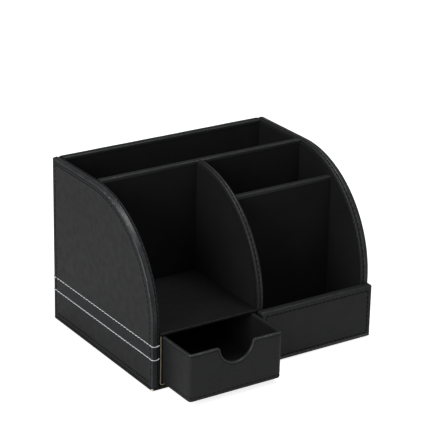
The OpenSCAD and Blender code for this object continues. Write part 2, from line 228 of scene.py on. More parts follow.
# %% [markdown]
# ## A bench for materials
# Every finish here is a Principled shader with a few textures in front of it. Nodes can be placed and joined
# one at a time, but then a recipe is hard to read. So one small class starts a material and has a short word
# for each thing that a recipe needs: a noise, a sum, a mix of two colours, a bump. A value that is the same
# all over the surface is set straight on the shader.

# %% Build the material bench


class Finish:
    """A material with one Principled shader, and short words for the nodes in front of it."""

    def __init__(self, name, roughness, specular):
        self.material = bpy.data.materials.new(name)
        self.material.use_nodes = True
        self.tree = self.material.node_tree
        self.shader = self.tree.nodes["Principled BSDF"]
        self.shader.inputs["Roughness"].default_value = roughness
        self.shader.inputs["Specular IOR Level"].default_value = specular
        self.place = self.add("TexCoord").outputs["Object"]

    def add(self, kind, settings=None, **joined):
        """Adds a node. settings are its own fields, joined are values or outputs for its sockets. A socket
        is named, or numbered as _0, _1 and so on."""
        node = self.tree.nodes.new("ShaderNode" + kind)
        for field, value in (settings or {}).items():
            setattr(node, field, value)
        for socket, value in joined.items():
            target = node.inputs[int(socket[1:]) if socket[0] == "_" else socket]
            if isinstance(value, bpy.types.NodeSocket):
                self.tree.links.new(value, target)
            else:
                target.default_value = value
        return node

    def noise(self, scale, detail, distortion=0.0, place=None):
        place = place or self.place
        node = self.add("TexNoise", Vector=place, Scale=scale, Detail=detail, Distortion=distortion)
        return node.outputs["Fac"]

    def calc(self, operation, *values, clamp=False):
        numbered = {f"_{k}": value for k, value in enumerate(values)}
        return self.add("Math", {"operation": operation, "use_clamp": clamp}, **numbered).outputs[0]

    def spread(self, value, low, high, from_low=0.3, from_high=0.7):
        """Stretches a value, most often a texture's around a half, to the range from low to high."""
        return self.add("MapRange", _0=value, _1=from_low, _2=from_high, _3=low, _4=high).outputs[0]

    def mix(self, amount, under, over):
        """Lays one colour over another by an amount from 0 to 1. A colour may come from a node."""
        under, over = [(*c, 1) if isinstance(c, tuple) else c for c in (under, over)]
        return self.add("Mix", {"data_type": "RGBA"}, _0=amount, _6=under, _7=over).outputs[2]

    def mark(self, name):
        return self.add("Attribute", {"attribute_name": name})

    def press(self, height, depth):
        """Presses a height into the surface as a bump that is depth metres deep."""
        bump = self.add("Bump", Height=height, Distance=depth)
        self.tree.links.new(bump.outputs[0], self.shader.inputs["Normal"])

    def drive(self, socket, value):
        self.tree.links.new(value, self.shader.inputs[socket])


print("material bench ready")

# %% [markdown]
# ## The leather
# The cover is artificial leather: a thin plastic skin on cloth, pressed with a fine pebble grain. Each pebble
# is close to a millimetre wide. A photograph of leather would repeat itself and wouldn't know where the edges
# are, so the grain is a cell texture whose cells are bent by a noise, with a finer noise on top. Where the
# skin is drawn round an edge it shows long fine wrinkles. On the ridges it is made paler and glossier, for
# wear and as a painted highlight, with a few pale flecks. In seams and creases painted shade makes it darker,
# and it is made quite matt there. Two marks that are stored on the mesh say where: one is how worn and
# highlighted a point is, and "lay" holds the distance along the edge, the distance across it, and how much
# painted shade the point gets.

# %% Mix the leather
PEBBLE = 1150.0
GRAIN_DEPTH = 0.00007
PORE_SHARE, WRINKLE_SHARE = 0.25, 1.6
POLISH, DUST = -0.36, 0.5
FLECK = (0.13, 0.13, 0.13)
# The colour of the painted shade in seams, creases and folds.
PAINTED_CREASE_SHADE = (0.0025, 0.0025, 0.0027)


def make_leather(name, dark, light, worn_and_lit_colour, roughness, specular):
    finish = Finish(name, roughness, specular)
    lay = finish.mark("lay").outputs["Vector"]
    wear_and_highlight = finish.mark("wear_and_highlight").outputs["Fac"]
    # The third part of lay says how much painted shade a point gets.
    painted_shade = finish.add("SeparateXYZ", Vector=lay).outputs[2]

    bend = finish.add("TexNoise", Vector=finish.place, Scale=420.0, Detail=2.0).outputs["Color"]
    bent = finish.add("Mix", {"data_type": "VECTOR"}, _0=0.0018, _4=finish.place, _5=bend).outputs[1]
    cells = finish.add("TexVoronoi", {"feature": "SMOOTH_F1"}, Vector=bent, Scale=PEBBLE, Smoothness=0.35)
    pebbles = cells.outputs["Distance"]
    drawn = finish.add("Mapping", Vector=lay, Scale=(90.0, 1500.0, 1.0)).outputs[0]
    wrinkles = finish.calc("MULTIPLY", finish.noise(1.0, 3.0, 0.6, drawn), wear_and_highlight)
    grain = finish.calc("MULTIPLY_ADD", finish.noise(3600.0, 3.0), PORE_SHARE, pebbles)
    finish.press(finish.calc("MULTIPLY_ADD", wrinkles, WRINKLE_SHARE, grain), GRAIN_DEPTH)

    mottled = finish.calc("MULTIPLY", finish.calc("ADD", finish.noise(26.0, 3.0), pebbles), 0.55)
    body = finish.mix(finish.spread(mottled, 0.0, 1.0), dark, light)
    patch = finish.noise(160.0, 2.0)
    # Wear and painted highlight: where the first mark is high the colour is made paler and the leather
    # glossier.
    worn_and_lit = finish.calc("MULTIPLY", wear_and_highlight, finish.spread(patch, 0.65, 1.0))
    faded_and_lit = finish.mix(finish.calc("MULTIPLY", worn_and_lit, worn_and_lit), body, worn_and_lit_colour)

    scuffed = finish.add("Mapping", Vector=lay, Scale=(330.0, 1000.0, 1.0)).outputs[0]
    spots = finish.spread(finish.noise(1.0, 2.0, place=scuffed), 0.0, 1.0, 0.56, 0.64)
    ridges = finish.spread(wear_and_highlight, 0.0, 1.0, 0.82, 1.0)
    flecked = finish.mix(finish.calc("MULTIPLY", spots, ridges), faded_and_lit, FLECK)
    # Painted shade: the colour is darkened towards black in seams, creases and folds.
    finish.drive("Base Color", finish.mix(painted_shade, flecked, PAINTED_CREASE_SHADE))

    dull = finish.spread(patch, roughness - 0.05, roughness + 0.07)
    polished = finish.calc("MULTIPLY_ADD", worn_and_lit, POLISH, dull)
    finish.drive("Roughness", finish.calc("MULTIPLY_ADD", painted_shade, DUST, polished, clamp=True))
    return finish.material


# Each leather has a dark and a light tone, a paler colour for wear and painted highlight, a roughness and a
# specular level.
leather = make_leather("black_leather", (0.0104, 0.0107, 0.0111), (0.0150, 0.0154, 0.0161),
                       (0.056, 0.06, 0.065), 0.47, 0.27)
shelf_skin = make_leather("shelf_leather", (0.0046, 0.0045, 0.0047), (0.0072, 0.0071, 0.0074),
                          (0.018, 0.018, 0.019), 0.6, 0.13)
print("leather pebbles", round(1000 / PEBBLE, 2), "mm wide")

# %% [markdown]
# ## The lining
# Inside, the organizer is lined with a black cloth that has a short nap, so it mirrors almost nothing and the
# compartments look deep. The leather with less gloss would still show its pebbles, so the cloth gets its own
# recipe: a fine noise for the nap, small cells for the weave, and a broad noise for the way a nap lies in
# patches.

# %% Mix the lining
cloth = Finish("napped_lining", 0.9, 0.14)
nap = cloth.noise(2600.0, 4.0)
weave = cloth.add("TexVoronoi", Vector=cloth.place, Scale=1900.0).outputs["Distance"]
cloth.press(cloth.calc("ADD", nap, weave), 0.00006)
patches = cloth.calc("MULTIPLY", cloth.noise(55.0, 3.0), 0.5)
shades = cloth.spread(cloth.calc("MULTIPLY_ADD", nap, 0.5, patches), 0.0, 1.0)
cloth.drive("Base Color", cloth.mix(shades, (0.0035, 0.0035, 0.0037), (0.0078, 0.0078, 0.008)))
cloth.shader.inputs["Sheen Weight"].default_value = 0.04
cloth.shader.inputs["Sheen Roughness"].default_value = 0.5
lining = cloth.material
print("lining mixed")

# %% [markdown]
# ## Raw card and chipped board
# The drawer slides in a sleeve of grey-brown card. Its cut front edge is left raw, and shows the layers that
# the card was pressed from. The layers could be modelled as thin sheets, but they are finer than a hair. On
# the card "lay" holds how far a point is through the thickness, so thin stripes across it draw the layers.
# The same recipe, paler, is the broken board where the cover is worn through.

# %% Mix the card
LAYERS = (260.0, 5200.0, 1.0)


def make_card(name, dark, light):
    finish = Finish(name, 0.86, 0.25)
    stretched = finish.add("Mapping", Vector=finish.mark("lay").outputs["Vector"], Scale=LAYERS).outputs[0]
    ragged = finish.calc("ADD", finish.noise(1.0, 3.0, place=stretched), finish.noise(2400.0, 4.0))
    finish.press(ragged, 0.00012)
    shades = finish.spread(finish.calc("MULTIPLY", ragged, 0.5), 0.0, 1.0)
    finish.drive("Base Color", finish.mix(shades, dark, light))
    return finish.material


raw_card = make_card("raw_card", (0.26, 0.19, 0.12), (0.62, 0.5, 0.36))
chipped_board = make_card("chipped_board", (0.72, 0.64, 0.5), (0.93, 0.88, 0.76))
print("card mixed, layers", round(1000 / LAYERS[1], 2), "mm thick")

# %% [markdown]
# ## Paper, fibreboard and felt
# The faces of the card are covered with plain black paper. The boards inside the leather are fibreboard, a
# pressed felt of wood fibres, and under the base lies a mat of black felt. All three are tangles of fibres,
# so each is drawn with one strong noise, and the board has clumps as well.

# %% Mix the paper, the fibreboard and the felt
pulp_paper = Finish("black_paper", 0.8, 0.3)
pulp = pulp_paper.noise(900.0, 5.0)
pulp_paper.press(pulp, 0.00004)
pulp_shades = pulp_paper.spread(pulp, 0.0, 1.0)
pulp_paper.drive("Base Color", pulp_paper.mix(pulp_shades, (0.007, 0.007, 0.007), (0.013, 0.0125, 0.012)))
black_paper = pulp_paper.material

board = Finish("fibreboard", 0.85, 0.25)
wood_fibres = board.noise(1500.0, 6.0, 1.2)
board.press(wood_fibres, 0.0001)
clumps = board.calc("MULTIPLY", board.noise(180.0, 3.0), 0.4)
board_shades = board.spread(board.calc("MULTIPLY_ADD", wood_fibres, 0.6, clumps), 0.0, 1.0)
board.drive("Base Color", board.mix(board_shades, (0.26, 0.17, 0.09), (0.56, 0.44, 0.3)))
fibreboard = board.material

mat = Finish("black_felt", 0.95, 0.15)
tangle = mat.noise(1300.0, 6.0, 2.0)
mat.press(tangle, 0.00025)
mat.drive("Base Color", mat.mix(mat.spread(tangle, 0.0, 1.0), (0.009, 0.009, 0.009), (0.022, 0.022, 0.022)))
mat.shader.inputs["Sheen Weight"].default_value = 0.1
black_felt = mat.material
print("paper, fibreboard and felt mixed")

# %% [markdown]
# ## The thread
# The threads are twisted from two strands. Each strand could be its own tube, but at half a millimetre a
# bump does as well: slanting stripes round the thread stand for the twist. On a thread, "lay" holds the
# distance along it and the turn round it, so the stripes follow every stitch whichever way it runs.

# %% Mix the threads
TWIST = 0.00085
STRANDS = 2.0


def make_thread(name, dark, light, roughness, specular):
    finish = Finish(name, roughness, specular)
    parts = finish.add("SeparateXYZ", Vector=finish.mark("lay").outputs["Vector"])
    along = finish.calc("DIVIDE", parts.outputs[0], TWIST)
    turned = finish.calc("MULTIPLY_ADD", parts.outputs[1], STRANDS, along)
    wave = finish.calc("SINE", finish.calc("MULTIPLY", turned, math.tau))
    strand = finish.spread(wave, 0.0, 1.0, -1.0, 1.0)
    fuzzy = finish.calc("MULTIPLY_ADD", finish.noise(5200.0, 3.0), 0.5, strand)
    finish.press(fuzzy, 0.00007)
    finish.drive("Base Color", finish.mix(finish.calc("MULTIPLY", fuzzy, 0.7), dark, light))
    return finish.material


white_thread = make_thread("white_thread", (0.48, 0.51, 0.55), (0.87, 0.91, 0.96), 0.55, 0.4)
dark_thread = make_thread("dark_thread", (0.0025, 0.0025, 0.0026), (0.008, 0.008, 0.0085), 0.75, 0.15)
print("thread twist", round(TWIST * 1000, 2), "mm")

# %% [markdown]
# ## A bench for meshes
# The skins could be cut from the solids of the frame, but a solid knows nothing of seams. So most skins here
# are lofts: a row of rings, each with the same number of points, joined by four-sided faces. The helpers
# below number those faces, build the mesh from millimetres, weld points that fall together, turn all faces
# outwards and store the two marks that the materials read.

# %% Number the faces and build a piece
WELD = 2e-7


def loft_faces(rows, columns, ring=False, closed=False, start=0):
    """The quads between rows of points. With ring the last column joins the first, with closed the last row
    joins the first."""
    quads = []
    for row in range(rows if closed else rows - 1):
        low, high = start + row * columns, start + (row + 1) % rows * columns
        for column in range(columns if ring else columns - 1):
            beside = (column + 1) % columns
            quads.append((low + column, low + beside, high + beside, high + column))
    return quads


def cap(row, columns, start=0):
    """One face that fills a whole row of points."""
    return tuple(start + row * columns + column for column in range(columns))


def build_piece(name, points, faces, materials, lay, wear_and_highlight=0.0, painted_shade=0.0, finish=None, sharp=40.0):
    """A mesh object from points in millimetres. lay is a mark of the points, and with it go a mark of wear
    and painted highlight and a mark of painted shade. finish says which of the materials each face has."""
    mesh = bpy.data.meshes.new(name)
    mesh.from_pydata([tuple(p) for p in to_frame(points)], [], faces)
    for material in materials:
        mesh.materials.append(material)
    if finish is not None:
        mesh.polygons.foreach_set("material_index", np.asarray(finish, np.int32).ravel())
    count = len(mesh.vertices)
    wear_and_highlight_mark = mesh.attributes.new("wear_and_highlight", "FLOAT", "POINT")
    wear_and_highlight_mark.data.foreach_set("value", np.full(count, wear_and_highlight, np.float32))
    marks = np.zeros((count, 3), np.float32)
    marks[:, :2] = lay
    marks[:, 2] = np.clip(painted_shade, 0, 1)
    lay_mark = mesh.attributes.new("lay", "FLOAT_VECTOR", "POINT")
    lay_mark.data.foreach_set("vector", marks.ravel())

    shell = bmesh.new()
    shell.from_mesh(mesh)
    bmesh.ops.remove_doubles(shell, verts=shell.verts, dist=WELD)
    bmesh.ops.dissolve_degenerate(shell, edges=shell.edges, dist=WELD)
    bmesh.ops.recalc_face_normals(shell, faces=shell.faces)
    open_edges = sum(edge.is_boundary for edge in shell.edges)
    shell.to_mesh(mesh)
    shell.free()
    mesh.shade_smooth()
    mesh.set_sharp_from_angle(angle=math.radians(sharp))
    piece = bpy.data.objects.new(name, mesh)
    scene.collection.objects.link(piece)
    print(name, len(mesh.polygons), "faces,", open_edges, "open edges")
    return piece


def settle(piece, body, slot, *nodes_replaced):
    """Hangs a piece on the body it rides on and hides the nodes that it stands for. slot is not used."""
    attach(piece, body)
    if nodes_replaced:
        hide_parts(*nodes_replaced)


# %% [markdown]
# ## Rings and soft steps
# A skin grows ring by ring, so a small class gathers the rings and their marks until the piece is built. The
# relief of the leather could be painted on, but seams are too deep for that. It is made from three soft
# curves instead: a bell for grooves and ridges, an ease for a step with soft ends, and a slow ripple for the
# unevenness of hand work, which is the same on every run.

# %% Gather rings, and shape the relief


class Loft:
    """Gathers the rings of a skin, one after the other, with the marks of their points."""

    def __init__(self):
        self.rings = []
        self.marks = []
        self.reach = 0.0

    def add(self, ring, run, wear_and_highlight=0.0, painted_shade=0.0, across=None):
        """Adds a ring. Each mark is one number, or one for each point. across is the way from the first ring,
        and is measured if it isn't given."""
        ring = np.asarray(ring, float)
        if across is None:
            if self.rings:
                self.reach += float(np.median(np.linalg.norm(ring - self.rings[-1], axis=1)))
            across = self.reach
        self.rings.append(ring)
        self.marks.append([np.broadcast_to(mark, len(ring)) for mark in (run, across, wear_and_highlight, painted_shade)])

    def faces(self, ring=False, closed=False):
        return loft_faces(len(self.rings), len(self.rings[0]), ring, closed)

    def caps(self):
        columns = len(self.rings[0])
        return [cap(0, columns), cap(len(self.rings) - 1, columns)]

    def build(self, name, faces, materials, finish=None, sharp=40.0):
        run, across, wear_and_highlight, painted_shade = np.concatenate(self.marks, axis=1)
        lay = np.stack([run * MM, across * MM], 1)
        return build_piece(name, np.concatenate(self.rings), faces, materials, lay, wear_and_highlight, painted_shade, finish, sharp)


def bell(distance, width):
    """One at distance nothing, falling smoothly to nothing a few widths away."""
    return np.exp(-(np.asarray(distance, float) / width) ** 2)


def ease(value, low, high):
    """From 0 at low to 1 at high, with soft ends."""
    t = np.clip((np.asarray(value, float) - low) / (high - low), 0, 1)
    return t * t * (3 - 2 * t)


def ripple(a, b, seed):
    """A slow, smooth unevenness between -1 and 1, the same on every run."""
    along = np.sin(a * 0.071 + seed)
    slanting = np.sin(a * 0.023 - b * 0.087 + 2.1 * seed)
    across = np.sin(b * 0.053 + 0.7 * seed)
    return (along + slanting + across) / 3


def way_along(section, longest=math.inf):
    """How far each point of a section is from the first, along the section. A step counts longest at most."""
    a, b = np.array([point[:2] for point in section], float).T
    steps = np.minimum(np.hypot(np.diff(a), np.diff(b)), longest)
    return np.concatenate([[0.0], np.cumsum(steps)])


# %% [markdown]
# ## The curved side panels
# Each side panel is one board with leather drawn over it. Seen from the side it has an upright back, a level
# top and a quarter circle that runs down into the front edge. The leather is stitched all round, a few
# millimetres in from the edge. The seam pulls it down into a groove, the margin outside the seam is puffed
# up, and a crease lies just before the edge, where the skin turns over the board. A plain bevel would lose
# all this, so the skin is lofted from rings: every ring follows the outline at one distance from the edge.

# %% Draw the outline of a curved panel
STITCH = 4.1
SEAM_IN = 4.6
CORNER_R = 1.0
QUARTER_ARC = (CURVE_R - SEAM_IN) * math.pi / 2
TOP_RUN = BODY_D - SEAM_IN - CURVE_R
ARC_END = TOP_RUN + QUARTER_ARC
ROW_LOW, ROW_HIGH = [sum(span(node)[2]) / 2 for node in ("left_row_low", "left_row_high")]
BESIDE_ROW = (-1.3, -0.7, -0.35, 0, 0.35, 0.7, 1.3)

# Points lie at a quarter of a stitch, and closer together beside the white rows.
step = STITCH / 4
heights = set(np.round(np.arange(CURVE_Z, PANEL_Z, -step), 4))
for row_z in (ROW_LOW, ROW_HIGH):
    heights = {z for z in heights if abs(z - row_z) > 1.5} | {row_z + d for d in BESIDE_ROW}
front_heights = np.array(sorted(heights | {PANEL_Z, CURVE_Z}))
arc_runs = np.arange(math.ceil(TOP_RUN / step) * step, ARC_END, step)[::-1]
top_shares = np.linspace(0, 1, 58)
back_shares = np.linspace(1, 0, 42)[1:-1]


def curve_stop(inset, y):
    """The turn at which the curve of a ring comes to y, in degrees."""
    return math.degrees(math.acos(max(-1.0, (y - CURVE_R) / max(CURVE_R - inset, 1e-6))))


def front_and_curve(inset, stop, runs):
    """The part of a ring that climbs the front edge and follows the curve to the turn stop."""
    r = CURVE_R - inset
    part = [(inset, z, ARC_END + CURVE_Z - z) for z in front_heights]
    for run in runs:
        turn = math.radians(180 - (180 - stop) * (ARC_END - run) / QUARTER_ARC)
        part.append((CURVE_R + r * math.cos(turn), CURVE_Z + r * math.sin(turn), run))
    return part


def panel_ring(inset):
    """One ring round a side panel, from the front foot to the back foot: y, z and the run of the seam beside
    each point. The run is nothing at the back top corner and grows towards the front."""
    y_back = BODY_D - inset
    round_r = max(CORNER_R - inset, 0.0)
    if y_back >= CURVE_R:
        stop = 90.0
        y_top, z_top = max(y_back - round_r, CURVE_R), BODY_H - inset
    else:
        stop = curve_stop(inset, y_back)
        y_top, z_top = y_back, CURVE_Z + (CURVE_R - inset) * math.sin(math.radians(stop))
    ring = front_and_curve(inset, stop, arc_runs)
    y_start = min(CURVE_R, y_top)
    ring += [(y_start + (y_top - y_start) * share, z_top, TOP_RUN * (1 - share)) for share in top_shares]
    y_side, z_side = y_back - round_r, z_top - round_r
    for degrees in (67.5, 45, 22.5, 0):
        turn = math.radians(degrees)
        y, z = y_side + round_r * math.cos(turn), z_side + round_r * math.sin(turn)
        ring.append((y, z, (degrees - 90) / 90))
    seam_top = BODY_H - SEAM_IN
    for share in back_shares:
        ring.append((y_back, CURVE_Z + (z_side - CURVE_Z) * share, (CURVE_Z - seam_top) * (1 - share)))
    ring += [(y_back, z, z - seam_top) for z in front_heights[::-1]]
    return np.array(ring).T


print("points on a ring:", len(panel_ring(0)[0]), "seam", round(ARC_END + CURVE_Z, 1), "mm long")

# %% [markdown]
# ## The relief of a side panel
# The rings carry the section of the edge. Going in from the rim there is the crease, the puffed margin, the
# groove of the seam and then the flat of the board. Between two holes the thread lies in the groove, and at
# each hole the leather is pulled a little deeper. On the outer face two more grooves run level across the
# panel under the white rows, and a hem is sewn along the foot. Down the front the seam comes closer to the
# edge. A drawn height map would do for the flat parts, but at the rim the relief has to follow the turn.

# %% Press the relief into the faces
EDGE_SECTION = [
    # inset from the edge, depth below the plane of the face
    (1.8, 0.08), (2.05, 0.24), (2.3, 0.4), (2.55, 0.24), (3.0, 0.05), (3.6, 0.0), (6.0, 0.06), (7.5, 0.1),
    (80, 0.1),
]
CREASE_IN = 2.3
SEAM_FOOT = 3.6
HEM_Z = PANEL_Z + SEAM_FOOT
ROW_START = 1.2
stitch_count = int((BODY_D - 2 * ROW_START) // STITCH)
WHITE_STITCH = (BODY_D - 2 * ROW_START) / stitch_count


def seam_inset(run):
    """How far the seam lies from the edge: closer down the front edge."""
    return SEAM_IN - 2.2 * ease(run, ARC_END + 6, ARC_END + 26)


def hole_pull(run, pitch):
    """One at each hole, nothing between two holes."""
    return np.cos(np.pi * np.asarray(run) / pitch) ** 8


def stitch_shade(run, pitch):
    """How shaded the leather is along a seam: much beside the thread, little at the holes."""
    return 0.8 - 0.65 * np.cos(np.pi * np.asarray(run) / pitch) ** 4


def edge_depth(inset):
    """How deep a face lies below its plane at a distance from the edge, without its seams."""
    return np.interp(inset, *zip(*EDGE_SECTION))


def face_relief(inset, y, z, run, outside):
    """How deep the leather of a face lies below its plane, and how shaded it is. Only the outside has the
    white rows and the hem."""
    from_seam = inset - seam_inset(run)
    above_hem = 1 - ease(z, HEM_Z + 1.5, HEM_Z - 1.5)
    depth = edge_depth(inset) + bell(from_seam, 0.5) * above_hem * (0.26 + 0.14 * hole_pull(run, STITCH))
    shade = bell(from_seam, 0.55) * above_hem * stitch_shade(run, STITCH)
    shade += 0.8 * bell(inset - CREASE_IN, 0.3) * (1 - 0.8 * ease(run, ARC_END, ARC_END + 20))
    if outside:
        for row_z in (ROW_LOW, ROW_HIGH):
            from_row = z - row_z
            depth += bell(from_row, 0.55) * (0.17 + 0.14 * hole_pull(y - ROW_START, WHITE_STITCH))
            depth -= 0.05 * (bell(from_row - 1.5, 0.8) + bell(from_row + 1.5, 0.8))
            shade += 0.45 * bell(from_row, 0.6)
        hem = bell(z - HEM_Z, 0.55) * ease(inset, 1.2, 3)
        depth += hem * (0.22 + 0.12 * hole_pull(y - SEAM_IN, STITCH))
        shade += hem * stitch_shade(y - SEAM_IN, STITCH)
    # Painted shade along the foot, where the panel stands on the base. The leather there also dips a little.
    foot = bell(z - PANEL_Z, 0.7)
    return depth + 0.3 * foot + 0.05 * ripple(y, z, 1.3) * ease(inset, 5, 14), shade + 0.8 * foot


print("white stitches:", stitch_count, "of", round(WHITE_STITCH, 3), "mm, hem at", round(HEM_Z, 2), "mm")

# %% [markdown]
# ## The rim of a panel
# On the rim the leather of the outer face ends and is sewn to the leather of the inner face. Its outer corner
# is a light ridge, worn and with a painted highlight. Then comes the crowned rim, and near the inner corner a
# second seam is sunk into it, with painted shade in its groove. The whole section of a panel, from the middle
# of one face over the rim to the middle of the other, is one list, so the seam can't come apart from the
# ridge beside it.

# %% Draw the section of a panel
RIM = [
    # inset, distance from the face, wear with painted highlight, painted shade: from a crease to the rim's
    # middle
    (1.5, 0.02, 0.5, 0.0), (1.2, 0.06, 0.9, 0.0), (0.9, 0.16, 1.0, 0.0), (0.64, 0.32, 1.0, 0.0),
    (0.44, 0.52, 1.0, 0.0), (0.3, 0.78, 1.0, 0.0), (0.24, 1.08, 0.6, 0.2), (0.2, 1.35, 0.5, 0.2),
    (0.12, 1.8, 0.7, 0.0), (0.04, 2.4, 0.75, 0.0), (0.0, 3.0, 0.75, 0.0), (0.0, 3.5, 0.7, 0.0),
]
# The rounded corner keeps its size on every panel. The crown between it and the middle, 2.4 mm wide in the
# list above, is stretched or squeezed to the panel's thickness.
RIM_ROUND, RIM_CROWN = 1.1, 2.4
# The seam's distance from the inner face, and where the rings across its groove lie, measured from the seam.
RIM_SEAM = 2.1
ACROSS_SEAM = (-1.2, -0.95, -0.7, -0.45, -0.22, 0.0, 0.22, 0.45, 0.7)
OUTER_FACE, ON_RIM, INNER_FACE = 0, 1, 2


def panel_section(thickness, insets):
    """The section of a panel. Each entry is inset, distance from the outer face, wear with painted highlight,
    painted shade and side.
    """
    half = []
    for inset, x, wear_and_highlight, shade in RIM:
        if x > RIM_ROUND:
            x = RIM_ROUND + (x - RIM_ROUND) * (thickness / 2 - RIM_ROUND) / RIM_CROWN
        half.append((inset, x, wear_and_highlight, shade))
    half_insets, half_places = [[entry[k] for entry in half] for k in (0, 1)]
    rim = half + [(inset, thickness - x, wear_and_highlight, shade) for inset, x, wear_and_highlight, shade in half[-2::-1]]
    seam_at = thickness - RIM_SEAM
    outside = [entry for entry in rim if entry[1] < seam_at + ACROSS_SEAM[0] - 0.1]
    # Past the seam the rim is less highlighted and gets painted shade.
    inside = [(inset, x, 0.3 * wear_and_highlight, 0.25) for inset, x, wear_and_highlight, _ in rim if x > seam_at + ACROSS_SEAM[-1] + 0.05]
    seam = []
    # Painted shade in the groove of the seam, and a painted highlight on the ridge on its outer side.
    for away in ACROSS_SEAM:
        groove, ridge = float(bell(away, 0.45)), 0.8 * float(bell(away + 1.0, 0.4))
        inset = float(np.interp(RIM_SEAM - away, half_places, half_insets)) + 0.55 * groove - 0.06 * ridge
        wear_and_highlight = min(1.0, (0.5 if away < 0 else 0.25) + ridge)
        seam.append((inset, seam_at + away, wear_and_highlight, float(bell(away, 0.6))))
    return (
        [(inset, 0.0, 0.0, 0.0, OUTER_FACE) for inset in insets]
        + [(*entry, ON_RIM) for entry in outside + seam + inside]
        + [(inset, thickness, 0.0, 0.0, INNER_FACE) for inset in insets[::-1]]
    )


fine = [1.8, 2.05, 2.3, 2.55, 2.8, 3.05, 3.35, 3.7, 4.15, 4.6, 5.05, 5.35, 5.7, 6.4]
white_holes = [ROW_START + WHITE_STITCH / 2 * k for k in range(3, stitch_count + 1)]
panel_insets = (fine + white_holes)[::-1]
print("rings on a face:", len(panel_insets), "on the rim:", len(panel_section(SIDE_T, [])))

# %% [markdown]
# ## Laying the skins of the side panels
# The left and the right panel are mirror images. The second could be a mirrored copy of the first, but then
# its grain would be mirrored too, so one function lofts both. Its rings run from the middle of the outer face
# over the rim to the middle of the inner face, and the feet of the rings are joined underneath, where the
# panel stands on the base. The leather is also made a little paler on the puffed margin and beside the seam,
# as wear and as a painted highlight.

# %% Loft the side panels


def foot_faces(rows, columns):
    """Faces that close the two ends of all rings, pairing each row with the row as far from the other end."""
    faces = []
    low, high = 0, rows - 1
    while high - low > 1:
        for column in (0, columns - 1):
            foot = [row * columns + column for row in (low, low + 1, high - 1, high)]
            faces.append(tuple(dict.fromkeys(foot)))
        low, high = low + 1, high - 1
    return faces


def uneven_rim(x, thickness, run, seed):
    """The slow unevenness of a rim, which fades out at its two corners."""
    return ripple(run * 1.7, x * 9, seed) * ease(x, 0.5, 1.5) * ease(thickness - x, 0.5, 1.5)


def side_panel_skin(name, node, mirrored):
    section = panel_section(SIDE_T, panel_insets)
    skin = Loft()
    for inset, x, wear_and_highlight, shade, side in section:
        y, z, run = panel_ring(inset)
        holes = hole_pull(run, STITCH)
        if side == ON_RIM:
            depth = x + 0.07 * uneven_rim(x, SIDE_T, run, 0.4)
            wear_and_highlight = wear_and_highlight * (1 - 0.12 * ease(run, ARC_END - 8, ARC_END + 20))
            shade = shade * (1 - 0.6 * holes)
        else:
            depth, shade = face_relief(inset, y, z, run, side == OUTER_FACE)
            from_seam = inset - seam_inset(run)
            # Wear and painted highlight on the puffed margin, on a line just inward of the seam and at its
            # holes.
            wear_and_highlight = 0.25 * bell(inset - 2.9, 1.0) + 0.5 * bell(from_seam - 0.8, 0.35)
            wear_and_highlight = wear_and_highlight + 0.8 * bell(from_seam, 0.5) * holes
        if side == INNER_FACE:
            depth = SIDE_T - depth * (1 - ease(inset, 2.4, 3.0)) - 0.03
        ring = np.stack([BODY_W - depth if mirrored else depth, y, z], 1)
        skin.add(ring, run, wear_and_highlight * (0.87 + 0.13 * ripple(run, z, 2.0)), shade)
    faces = skin.faces() + foot_faces(len(section), len(skin.rings[0]))
    settle(skin.build(name, faces, [leather]), "case", "leather", node)


side_panel_skin("left_side_leather", "left_side_cover", mirrored=False)
side_panel_skin("right_side_leather", "right_side_cover", mirrored=True)

# %% [markdown]
# ## The divider
# The divider between the two halves has the same curved front but is thinner, and its back meets the wall of
# the letter slot. It could be a scaled side panel, but then its seam and its ridge would shrink too. So its
# section is drawn anew for its own thickness, and its rings are cut off where the wall begins. The two faces
# are closed along the back and along the foot, so the skin is one sealed piece.

# %% Loft the divider
DIVIDER_T = DIVIDER_X2 - DIVIDER_X
divider_insets = [1.8, 2.05, 2.3, 2.55, 2.9, 3.3, 3.7, 4.2, 4.7, 5.2, 6.0, 8.0, *np.linspace(14, SLOT_Y, 10)]
divider_section = [
    # The outer face of the section is the right one here.
    (inset, DIVIDER_T - x, wear_and_highlight, shade, INNER_FACE - side)
    for inset, x, wear_and_highlight, shade, side in panel_section(DIVIDER_T, divider_insets[::-1])[::-1]
]
skin = Loft()
for inset, x, wear_and_highlight, shade, side in divider_section:
    part = front_and_curve(inset, curve_stop(inset, SLOT_Y), [*arc_runs, TOP_RUN])
    y, z, run = np.array(part).T
    if side == ON_RIM:
        depth = x + 0.06 * uneven_rim(x, DIVIDER_T, run, 3.1)
        shade = shade * (1 - 0.6 * hole_pull(run - TOP_RUN, STITCH))
    else:
        shade = 0.8 * bell(inset - CREASE_IN, 0.3)
        if side == INNER_FACE:
            depth = DIVIDER_T - edge_depth(inset)
        else:
            depth = edge_depth(inset) * (1 - ease(inset, 2.4, 3.0))
    ring = np.stack([np.broadcast_to(DIVIDER_X + depth, len(y)), y, z], 1)
    skin.add(ring, run, wear_and_highlight * (0.75 + 0.25 * ripple(run, z, 5.0)), shade)
faces = skin.faces(closed=True) + foot_faces(len(divider_section), len(y))
divider_skin = skin.build("divider_leather", faces, [leather])
settle(divider_skin, "case", "leather", "divider_cover")

# %% [markdown]
# ## The straight walls
# Three walls run across: the back, the wall of the letter slot and the lower wall of the narrow compartment.
# The leather is folded over the top of each and ends in a straight edge a few millimetres down, where the
# lining cloth takes over. Two thin skins could be laid on each other, but their edges would flicker. So a
# wall is one skin with two finishes: its section is drawn once and swept along the wall, with a slow
# unevenness so that the edge looks hand covered.

# %% Sweep the walls
TURN_DOWN = 3.0
WALL_STATION = 3
LEATHERED, LINED = 0, 1


